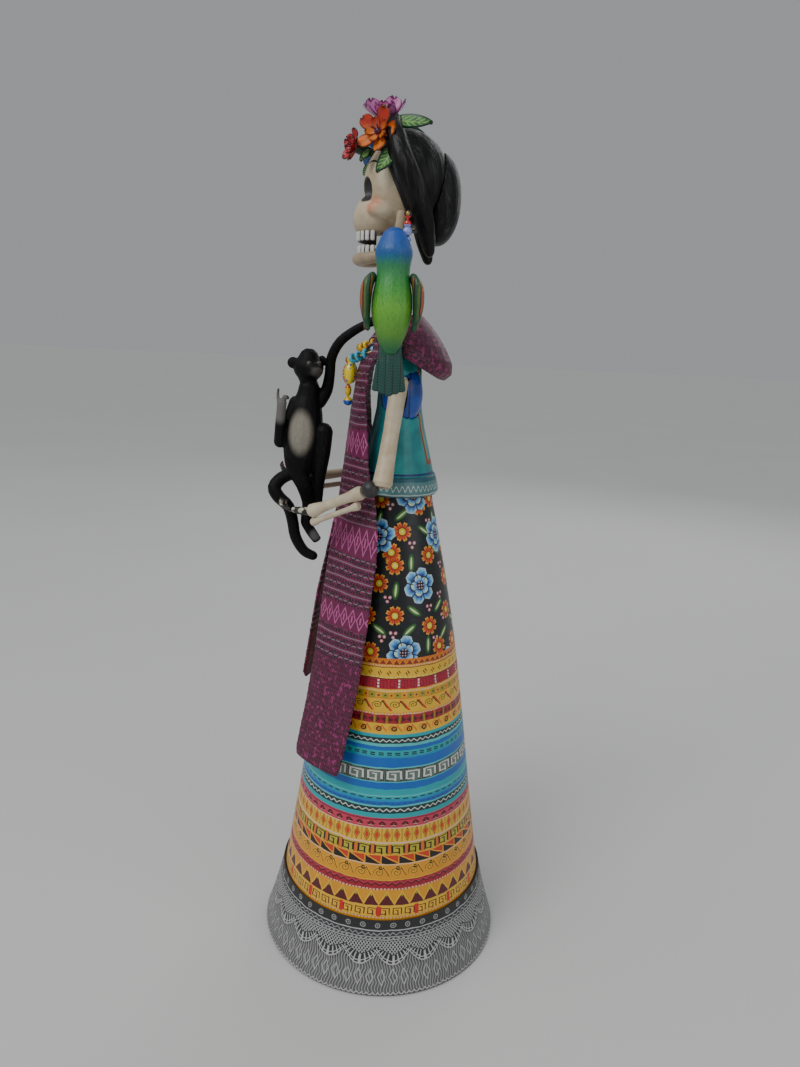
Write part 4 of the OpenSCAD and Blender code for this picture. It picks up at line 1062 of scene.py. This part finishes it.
def ball(centre, size, rings=16):
    """An oval ball; its half sizes are in millimetres."""
    deselect()
    bpy.ops.mesh.primitive_uv_sphere_add(segments=rings * 2, ring_count=rings, radius=mm, location=centre,
                                         scale=size)
    obj = bpy.context.object
    bpy.ops.object.transform_apply(location=True, rotation=True, scale=True)
    return smooth(obj)


def blade(length, width, thick, taper, fold):
    """A feather along +X from the origin, its face up."""
    deselect()
    bpy.ops.mesh.primitive_uv_sphere_add(segments=20, ring_count=14, radius=1, rotation=(0, math.pi / 2, 0))
    obj = bpy.context.object
    bpy.ops.object.transform_apply(rotation=True)
    obj.scale = (length / 2 * mm, width / 2 * mm, thick / 2 * mm)
    bpy.ops.object.transform_apply(scale=True)
    for vertex in obj.data.vertices:
        share = vertex.co.x / (length * mm) + 0.5
        vertex.co.y *= 1 - taper * share ** 2 - 0.35 * (1 - share) ** 3
        vertex.co.z += abs(vertex.co.y) * fold
        vertex.co.x += length / 2 * mm
    return smooth(obj)


def placed(obj, centre, away, roll=0.0):
    """A copy of the piece whose +Z turns to face away, rolled about it, at the centre."""
    copy = obj.copy()
    copy.data = obj.data.copy()
    bpy.context.scene.collection.objects.link(copy)
    turn = Vector(away).to_track_quat("Z", "Y").to_matrix().to_4x4()
    copy.data.transform(Matrix.Translation(centre) @ turn @ Matrix.Rotation(roll, 4, "Z"))
    return copy


def dropped(obj):
    bpy.data.objects.remove(obj, do_unlink=True)


# ---- camera, floor and light

camera = bpy.data.objects.new("camera", bpy.data.cameras.new("camera"))
bpy.context.scene.collection.objects.link(camera)
camera.data.sensor_fit = "VERTICAL"
camera.data.sensor_height = 36
camera.data.lens = 26.05
camera.data.clip_start = 0.01
tilt = Euler((math.radians(76.9), 0, 0)).to_matrix()
about = Euler((0, 0, math.radians(90))).to_matrix()
lean = Euler((0, 0, math.radians(2.6))).to_matrix()
camera.matrix_world = Matrix.Translation((0.3857, 0.0022, 0.3121)) @ (about @ tilt @ lean).to_4x4()
bpy.context.scene.camera = camera

deselect()
bpy.ops.mesh.primitive_plane_add(size=60)
floor = bpy.context.object
floor.name = "floor"
floor_finish, floor_tree, floor_shader = finish_of("pale floor")
floor_dust = noise(floor_tree, 3, 3)
floor_colour = mixed(floor_dust, (0.6, 0.6, 0.59), (0.66, 0.66, 0.65))
set_up(floor_tree, floor_shader, floor_colour, 0.7 + floor_dust * 0.1)
floor.data.materials.append(floor_finish)

world = bpy.data.worlds.new("studio")
bpy.context.scene.world = world
world.use_nodes = True
world.node_tree.nodes["Background"].inputs[0].default_value = (0.9, 0.92, 0.95, 1)
world.node_tree.nodes["Background"].inputs[1].default_value = 0.36


def soft_lamp(name, spot_at, size, power):
    lamp = bpy.data.lights.new(name, "AREA")
    lamp.size = size
    lamp.energy = power
    obj = bpy.data.objects.new(name, lamp)
    bpy.context.scene.collection.objects.link(obj)
    obj.location = spot_at
    obj.rotation_euler = (Vector((0, 0, 0.2)) - Vector(spot_at)).to_track_quat("-Z", "Y").to_euler()


soft_lamp("key lamp", (0.9, -0.8, 1.3), 0.7, 9)
soft_lamp("fill lamp", (0.9, 1.0, 0.7), 0.9, 3)
soft_lamp("back lamp", (-1.1, 0.5, 0.9), 0.8, 3)
sky_glow = bpy.data.lights.new("sky glow", "SUN")
sky_glow.energy = 0.75
sky_glow.angle = math.radians(60)
sky_lamp = bpy.data.objects.new("sky glow", sky_glow)
bpy.context.scene.collection.objects.link(sky_lamp)
sky_lamp.rotation_euler = (math.radians(25), math.radians(20), 0)

# ---- skirt

def stretch(bottom, top, rows, radius_at):
    heights = [bottom + (top - bottom) * i / rows for i in range(rows + 1)]
    return [(radius_at(z), z) for z in heights]


lap = 6 * mm
skirt_zones = [("lower_warm_bands", flounce_top, 88 * mm, lower_warm_bands),
               ("teal_bands", 88 * mm, 130.1 * mm, teal_bands),
               ("upper_warm_bands", 130.1 * mm, 167.4 * mm, upper_warm_bands),
               ("floral_skirt", 167.4 * mm, skirt_top, floral_ground)]
for label, bottom, top, colours in skirt_zones:
    rows = stretch(bottom, top, 14, skirt_r)
    if bottom == flounce_top:
        rows = [(knee_r, flounce_top - lap)] + rows
    zone = turned_piece(rows, 160, 2.2 * mm)
    zone_paint = paint(label.replace("_", " "), colours, 1.0, 0.6, 0.02)
    finished(zone, label, zone_paint, stands_for=("skirt_shell",))

sole_z = 0.02 * mm
sole = (foot_r - 1.4 * mm, sole_z)
collar_r = knee_r + 0.1 * mm
collar = (collar_r, flounce_top - lap)
flounce_outer = [sole] + stretch(1.4 * mm, flounce_top, 14, flounce_r)
flounce_outer += [(collar_r, flounce_top - 0.6 * mm), collar]
flounce_inner = [sole, (foot_r - 4.6 * mm, sole_z), (foot_r - 4.8 * mm, 6.2 * mm)]
flounce_inner += [(r - 3.2 * mm, z) for r, z in stretch(9 * mm, flounce_top - lap, 6, flounce_r)]
flounce_inner += [collar]


def close_seams():
    bpy.ops.mesh.remove_doubles(threshold=1e-5)
    bpy.ops.mesh.normals_make_consistent(inside=False)


flounce = joined([turned_piece(flounce_outer, 176), turned_piece(flounce_inner, 176)])
in_edit(flounce, close_seams)
smooth(flounce, 40)
finished(flounce, "lace_foot", paint("lace", lace, 1.0, 1.0, 0.12), stands_for=("lace_flounce",))

# ---- hidden frame

board_wood = wood("board wood", (0.42, 0.28, 0.15), (0.22, 0.13, 0.06))
plain_wood = wood("dowel wood", (0.6, 0.44, 0.25), (0.42, 0.28, 0.14))
card = cardboard("brown card", (0.36, 0.24, 0.13), (0.24, 0.15, 0.08))
core_paper = cardboard("rolled paper", (0.62, 0.55, 0.42), (0.45, 0.39, 0.29))
steel = wire_metal("steel wire", (0.4, 0.4, 0.42))
brass = wire_metal("brass wire", (0.72, 0.5, 0.18))
bone = paint("bone", bone_colour, 1.2, 1.2, 0.16)
dark_joint = paint("dark joint", plain_paint((0.03, 0.028, 0.028), 0.4), 1.0, 1.0, 0.1)
armhole_blue = paint("armhole blue", armhole_colour)


def coated(coats):
    """Gives frame pieces that keep their own shape their finishes."""
    for node_name, material in coats.items():
        nodes[node_name].data.materials.clear()
        nodes[node_name].data.materials.append(material)


coated({"base_board": board_wood, "dowel": plain_wood, "waist_disc": plain_wood, "card_cone": card,
        "paper_core": core_paper, "shoulder_wire": steel, "upper_strand": brass, "lower_strand": brass,
        "ear_hooks": brass, "left_humerus": bone, "right_humerus": bone, "left_forearm": bone,
        "right_forearm": bone, "neck_bones": bone, "left_elbow": dark_joint, "right_elbow": dark_joint,
        "left_armhole": armhole_blue, "right_armhole": armhole_blue})


def cast_piece(node_name, label, material, voxel, rounds):
    """One frame piece cast in paper and painted."""
    finished(cast_of(node_name, voxel=voxel, rounds=rounds), label, material, stands_for=(node_name,))


# ---- blouse

cast_piece("blouse_shell", "blouse", paint("blouse paint", blouse_colour), 0.6, 8)
cast_piece("blouse_hem", "blouse_band", paint("hem paint", hem_colour), 0.5, 6)

# ---- shawl: its ends are knitted below and banded above, its collar is knitted all over

bands_from = 164
no_bands = 400


def weave(name, turned, knit_top):
    return paint(name, shawl_colour(math.radians(turned), knit_top), 0.6, 1.0, 0.22, 0.4 * mm)


cast_piece("shawl_left_end", "left_shawl", weave("left shawl weave", 46, bands_from), 0.62, 12)
cast_piece("shawl_right_end", "right_shawl", weave("right shawl weave", -30, bands_from), 0.62, 12)
cast_piece("shawl_back", "shawl_collar", weave("collar weave", 0, no_bands), 0.55, 12)

# ---- hands

for side, mark in (("left", (0.66, 0.6, 0.45)), ("right", (0.35, 0.09, 0.06))):
    hand_paint = paint(side + " hand bones", hand_colour(mark), 0.5, 1.0, 0.15)
    cast_piece(side + "_hand", side + "_bone_hand", hand_paint, 0.25, 3)

# ---- head

skull_bone = paint("skull bone", skull_colour, 1.2, 1.2, 0.14)
cast_piece("cranium", "skull", skull_bone, 0.45, 10)
cast_piece("mandible", "jaw", skull_bone, 0.45, 10)

tooth_white = paint("tooth white", plain_paint((0.8, 0.79, 0.74), 0.1), 0.4, 0.5, 0.0)
gum_black = paint("gum line", plain_paint((0.02, 0.015, 0.014), 0.3), 0.4, 0.5, 0.1)


def tooth_arch(name, reach_x, reach_y, bottom, height, node_name):
    """Ten rounded teeth on an arch, and the dark gum that they stand in."""
    deselect()
    bpy.ops.mesh.primitive_cube_add(size=1, scale=(2.05 * mm, 1.5 * mm, height * mm))
    model = bpy.context.object
    bpy.ops.object.transform_apply(scale=True)
    with_modifier(model, "BEVEL", width=0.7 * mm, segments=3)
    smooth(model)
    teeth = []
    gum = []
    for i in range(10):
        a = math.radians(270 + (i - 4.5) * 165 / 9)
        centre = up(reach_x * math.cos(a), jaw_y + reach_y * math.sin(a), bottom + height / 2)
        tooth = model.copy()
        tooth.data = model.data.copy()
        bpy.context.scene.collection.objects.link(tooth)
        tooth.data.transform(Matrix.Translation(centre) @ Matrix.Rotation(a + math.pi / 2, 4, "Z"))
        teeth.append(tooth)
    dropped(model)
    finished(joined(teeth), name, tooth_white, stands_for=(node_name,))
    for i in range(15):
        a = math.radians(270 + (i - 7) * 180 / 14)
        gum.append(up((reach_x - 0.55) * math.cos(a), jaw_y + (reach_y - 0.55) * math.sin(a),
                      bottom + height / 2))
    band_piece = tube(gum, [1.0] * 15, 3, 3)
    lift = Matrix.Translation((0, 0, gum[0].z)) @ Matrix.Scale(height * 0.56, 4, (0, 0, 1))
    band_piece.data.transform(lift @ Matrix.Translation((0, 0, -gum[0].z)))
    finished(band_piece, name + "_gum", gum_black)


tooth_arch("top_teeth", 7.9, 8.4, 122.5, 4.9, "upper_teeth")
tooth_arch("bottom_teeth", 7.7, 7.8, 116.4, 4.2, "lower_teeth")

# ---- hair

hair_black = paint("hair black", hair_colour, 0.8, 0.5, 0.0, 0.45 * mm, 0.22, 0.04)
hair_parts = ("hair_cap", "left_hair_roll", "right_hair_roll")
crown = cast_of(*hair_parts, voxel=0.55, rounds=26, strength=0.6)
finished(crown, "hair_crown", hair_black, stands_for=hair_parts)
cast_piece("hair_bun", "bun", hair_black, 0.5, 14)

# ---- flowers and leaves

def sheet(length, width, outline, cup, curl, ruffle, thick):
    """A thin petal or leaf along +X from the origin; its half width at each share is the outline's."""
    deselect()
    bpy.ops.mesh.primitive_grid_add(x_subdivisions=14, y_subdivisions=10, size=1)
    obj = bpy.context.object
    for vertex in obj.data.vertices:
        share = vertex.co.x + 0.5
        across = vertex.co.y * 2
        bend = curl * share / 2
        vertex.co.x = length * share * math.cos(bend) * mm
        vertex.co.y = width / 2 * outline(share) * across * mm
        wave = ruffle * math.sin(across * 5 + share * 4) * share * share
        vertex.co.z = (length * share * math.sin(bend) + cup * across * across + wave) * mm
    with_modifier(obj, "SOLIDIFY", thickness=thick * mm, offset=0)
    return smooth(obj, 50)


def round_end(share):
    """Half width of a petal: broad, with a round tip."""
    return 0.22 + 0.86 * share ** 0.7 * math.sqrt(1.02 - share ** 5) - 0.12 * share ** 8


def pointed_end(share):
    """Half width of a leaf: pointed at both ends."""
    return 0.06 + 0.94 * math.sin(math.pi * share ** 0.85) ** 0.8 * (1 - 0.15 * share)


def petal_colour(edge, middle, throat, upper=None, centre=None):
    """A petal's colours from its throat to its edge, with streaks along it."""
    def build(tree):
        along, across = own_map(tree)
        out = abs(across - 0.5) * 2
        streak = noise(tree, 5.0, 3, at=vector(tree, along * 0.5, across * 3, 0))
        body = middle
        if upper:
            rise = (place(tree)[2] - centre.z / mm) / 10
            body = mixed(rise.soft(0.0, 0.5), middle, upper)
        deep = mixed(streak.soft(0.5, 0.75) * 0.6, body, edge)
        colour = mixed(along.soft(0.1, 0.5), throat, deep)
        rim = out.above(0.9).either(along.above(0.94))
        return mixed(rim, colour, tuple(c * 0.45 for c in edge))
    return build


def flower(name, node_name, centre, facing, reach, petals, wide, curl, finish):
    """Thin open petals round a heart, in two rows."""
    facing = Vector(facing).normalized()
    outer = sheet(reach, wide, round_end, 0.7, curl, 0.45, 0.5)
    inner = sheet(reach * 0.58, wide * 0.62, round_end, 0.6, curl * 1.5, 0.3, 0.45)
    pieces = []
    for model, share, rise in ((outer, 0.0, 0.0), (inner, 0.5, 0.7 * mm)):
        for i in range(petals):
            roll = math.tau * (i + share) / petals
            pieces.append(placed(model, centre + facing * rise, facing, roll))
        dropped(model)
    finished(joined(pieces), name, finish, stands_for=(node_name,))


pink_at = up(0, -13, head_z + 28.5)
pink_way = (0.5, -0.1, 1)
pink_paint = petal_colour((0.42, 0.03, 0.3), (0.72, 0.2, 0.52), (0.9, 0.55, 0.6))
flower("pink_bloom", "pink_flower", pink_at, pink_way, 11.4, 5, 10.6, 1.2,
       paint("pink petals", pink_paint, 0.5, 0.5))
orange_at = up(16, -14.8, head_z + 18.2)
orange_way = (0.85, -0.45, 0.2)
orange_paint = petal_colour((0.6, 0.1, 0.01), (0.85, 0.2, 0.01), (0.09, 0.0, 0.03),
                            (0.6, 0.03, 0.01), orange_at)
flower("orange_bloom", "orange_flower", orange_at, orange_way, 10.2, 5, 7.6, 0.6,
       paint("orange petals", orange_paint, 0.5, 0.5))
red_at = up(5.5, -26, head_z + 14.4)
red_way = (0.5, -0.9, 0.2)
red_paint = petal_colour((0.25, 0.002, 0.004), (0.62, 0.01, 0.008), (0.2, 0.0, 0.0))
flower("red_bloom", "red_flower", red_at, red_way, 7.4, 5, 7.0, 0.7,
       paint("red petals", red_paint, 0.5, 0.5))
blue_at = up(-15.5, -16.6, head_z + 17.6)
blue_way = (-1, -0.35, 0.35)
blue_paint = petal_colour((0.002, 0.01, 0.09), (0.01, 0.08, 0.3), (0.0, 0.01, 0.05))
flower("blue_bloom", "blue_flower", blue_at, blue_way, 8.6, 6, 6.8, 0.6,
       paint("blue petals", blue_paint, 0.5, 0.5))

stamen_yellow = paint("stamen yellow", plain_paint((0.9, 0.55, 0.02), 0.3), 0.3, 0.3)
dark_purple = paint("dark purple", plain_paint((0.07, 0.0, 0.04), 0.4), 0.3, 0.3)


def heart(centre, facing, size, threads):
    away = Vector(facing).normalized()
    pieces = [ball(centre + away * 1.2 * mm, (size, size, size))]
    side_way = away.orthogonal().normalized()
    for i in range(threads):
        lean_way = Matrix.Rotation(math.tau * i / threads, 3, away) @ side_way
        foot = centre + away * mm
        tip = foot + (away * 3.4 + lean_way * 1.5) * mm
        pieces.append(tube([foot, (foot + tip) / 2 + lean_way * 0.3 * mm, tip], [0.28, 0.25, 0.25], 1, 2))
        pieces.append(ball(tip, (0.5, 0.5, 0.6), rings=5))
    return pieces


finished(joined(heart(pink_at, pink_way, 1.6, 7)), "stamens", stamen_yellow, stands_for=("flower_hearts",))
dark_hearts = heart(orange_at, orange_way, 1.5, 3) + heart(red_at, red_way, 1.0, 3)
dark_hearts += heart(blue_at, blue_way, 1.3, 3)
finished(joined(dark_hearts), "dark_hearts", dark_purple)

cup_green = paint("cup green", plain_paint((0.01, 0.07, 0.02), 0.4), 0.4, 0.5)
cups = []
for centre, facing, depth in ((pink_at, (0.2, 0.1, 1), 8.5), (orange_at, orange_way, 6),
                              (red_at, (0.3, -0.9, 0.2), 9), (blue_at, blue_way, 6)):
    away = Vector(facing).normalized() * mm
    cups.append(tube([centre + away * 0.3, centre - away * 0.3 * depth, centre - away * 0.7 * depth,
                      centre - away * depth], [2.4, 2.8, 2.2, 1.6], 3, 3))
finished(joined(cups), "flower_cups", cup_green)


def leaf_colour(tree):
    """Green with a dark edge, light side veins and a light midrib."""
    along, across = own_map(tree)
    out = abs(across - 0.5) * 2
    wash = noise(tree, 260, 3)
    colour = mixed(wash.soft(0.35, 0.7), (0.012, 0.1, 0.02), (0.05, 0.24, 0.04))
    veins = abs((along * 7 - out * 1.6 + wash * 0.4).wrap())
    colour = mixed(veins.below(0.13).both(out.below(0.78)), colour, (0.26, 0.46, 0.1))
    colour = mixed(out.below(0.07), colour, (0.3, 0.5, 0.12))
    return mixed(out.above(0.84).either(along.above(0.95)), colour, (0.004, 0.04, 0.02))


leaf_green = paint("leaf green", leaf_colour, 0.5, 0.6)
leaf_spans = []
for side in (1, -1):
    leaf_spans += [((side * 8, -9, 173.5), (side * 13.5, 8.5, 169.5), 9.6, (side * 1.0, -0.1, 0.8)),
                   ((side * 19.0, -7, 160.5), (side * 21.6, -14.6, 147.6), 8.0, (side, -0.3, 0.25)),
                   ((side * 12, -19, 159.4), (side * 13.6, -22.6, 154.2), 4.4, (side, -0.5, 0.2))]
leaves = []
for root, tip, wide, face in leaf_spans:
    root, tip, face = up(*root), up(*tip), Vector(face).normalized()
    along = tip - root
    x_way = along.normalized()
    y_way = face.cross(x_way).normalized()
    z_way = x_way.cross(y_way)
    turn = Matrix((x_way, y_way, z_way)).transposed().to_4x4()
    leaf = sheet(along.length / mm, wide, pointed_end, 0.9, 0.25, 0.3, 0.8)
    leaf.data.transform(Matrix.Translation(root) @ turn)
    leaves.append(leaf)
finished(joined(leaves), "hair_leaf_sprays", leaf_green, stands_for=("hair_leaves",))

# ---- jewellery

earring_beads = glass_bead("earring beads", earring_colour)
dotted_yellow = glass_bead("dotted yellow glaze", dotted((0.88, 0.7, 0.01), (0.02, 0.12, 0.5)))
coated({"left_earring": earring_beads, "right_earring": earring_beads,
        "gold_bead_string": glass_bead("gold beads", plain_paint((0.85, 0.5, 0.02), 0.3, 400)),
        "ring_beads": glass_bead("turquoise rings", plain_paint((0.05, 0.42, 0.6), 0.4, 500)),
        "left_pendant": dotted_yellow, "right_pendant": dotted_yellow,
        "middle_pendant": glass_bead("middle pendant glaze", middle_pendant_colour)})

# ---- monkey

fur = paint("monkey fur", fur_colour, 0.7, 0.6, 0.12, 0.4 * mm, 0.16, 0.0)
monkey_parts = ("monkey_body", "monkey_head", "monkey_neck_arm", "monkey_raised_arm", "monkey_left_leg",
                "monkey_right_leg", "monkey_tail", "monkey_ears")
finished(cast_of(*monkey_parts, voxel=0.42, rounds=4), "monkey", fur, stands_for=monkey_parts)
eye_gloss = glass_bead("eye gloss", plain_paint((0.02, 0.012, 0.008), 0.3, 500))
eye_ring = paint("eye ring", plain_paint((0.07, 0.06, 0.05), 0.2), 0.3, 0.3)
face_way = Vector((8.5, 5.2, -2.4)).normalized()
side_way = face_way.cross(Vector((0, 0, 1))).normalized()
face_at = up(9.6, -42.4, 65.6)
eyes, rings_of_eyes = [], []
for side in (-1, 1):
    where = face_at + side_way * side * 2.5 * mm
    eyes.append(ball(where + face_way * 0.5 * mm, (0.95, 0.95, 0.95), rings=8))
    rings_of_eyes.append(ball(where, (1.35, 1.35, 1.35), rings=8))
for side in (-1, 1):
    eyes.append(ball(up(13.9, -39.9, 63.0) + side_way * side * 0.8 * mm, (0.42, 0.42, 0.5), rings=6))
finished(joined(eyes), "monkey_eyes", eye_gloss)
finished(joined(rings_of_eyes), "monkey_eye_rings", eye_ring)

# ---- parrot

cast_piece("parrot_body", "parrot", paint("parrot feathers", parrot_colour, 0.8, 0.6, 0.08), 0.45, 8)
cast_piece("parrot_wings", "wing_backs", paint("wing green", wing_colour, 0.6, 0.5, 0.08), 0.4, 5)
feather_green = paint("wing feather", plain_paint((0.006, 0.09, 0.04), 0.5, 300), 0.5, 0.5, 0.08)
feather_red = paint("wing edge", plain_paint((0.62, 0.09, 0.015), 0.4, 300), 0.5, 0.5, 0.08)
green_feathers, red_feathers = [], []
wing_low = 77
for side in (-1, 1):
    for i in range(6):
        top = up(36.2 + i * 1.15, parrot_y + side * (12.2 - i * 0.1), wing_low + 21 - i * 0.6)
        foot = up(37.2 + i * 0.75, parrot_y + side * (11.6 - i * 0.15), wing_low + 4.5 + i * 1.0)
        along = foot - top
        x_way = along.normalized()
        y_way = Vector((0, side, 0)).cross(x_way).normalized()
        z_way = x_way.cross(y_way)
        turn = Matrix((x_way, y_way, z_way)).transposed().to_4x4()
        feather = blade(along.length / mm, 2.2, 0.9, 0.35, -0.1)
        feather.data.transform(Matrix.Translation(top) @ turn)
        (red_feathers if i in (0, 3) else green_feathers).append(feather)
finished(joined(green_feathers), "wing_feathers", feather_green)
finished(joined(red_feathers), "wing_edge_feathers", feather_red)
cast_piece("parrot_tail", "tail_feathers", paint("tail green", tail_colour, 0.6, 0.5, 0.08), 0.4, 3)
claw_grey = paint("claw grey", plain_paint((0.12, 0.11, 0.1), 0.4, 300), 0.5, 1.0, 0.1)
cast_piece("parrot_feet", "parrot_claws", claw_grey, 0.35, 3)
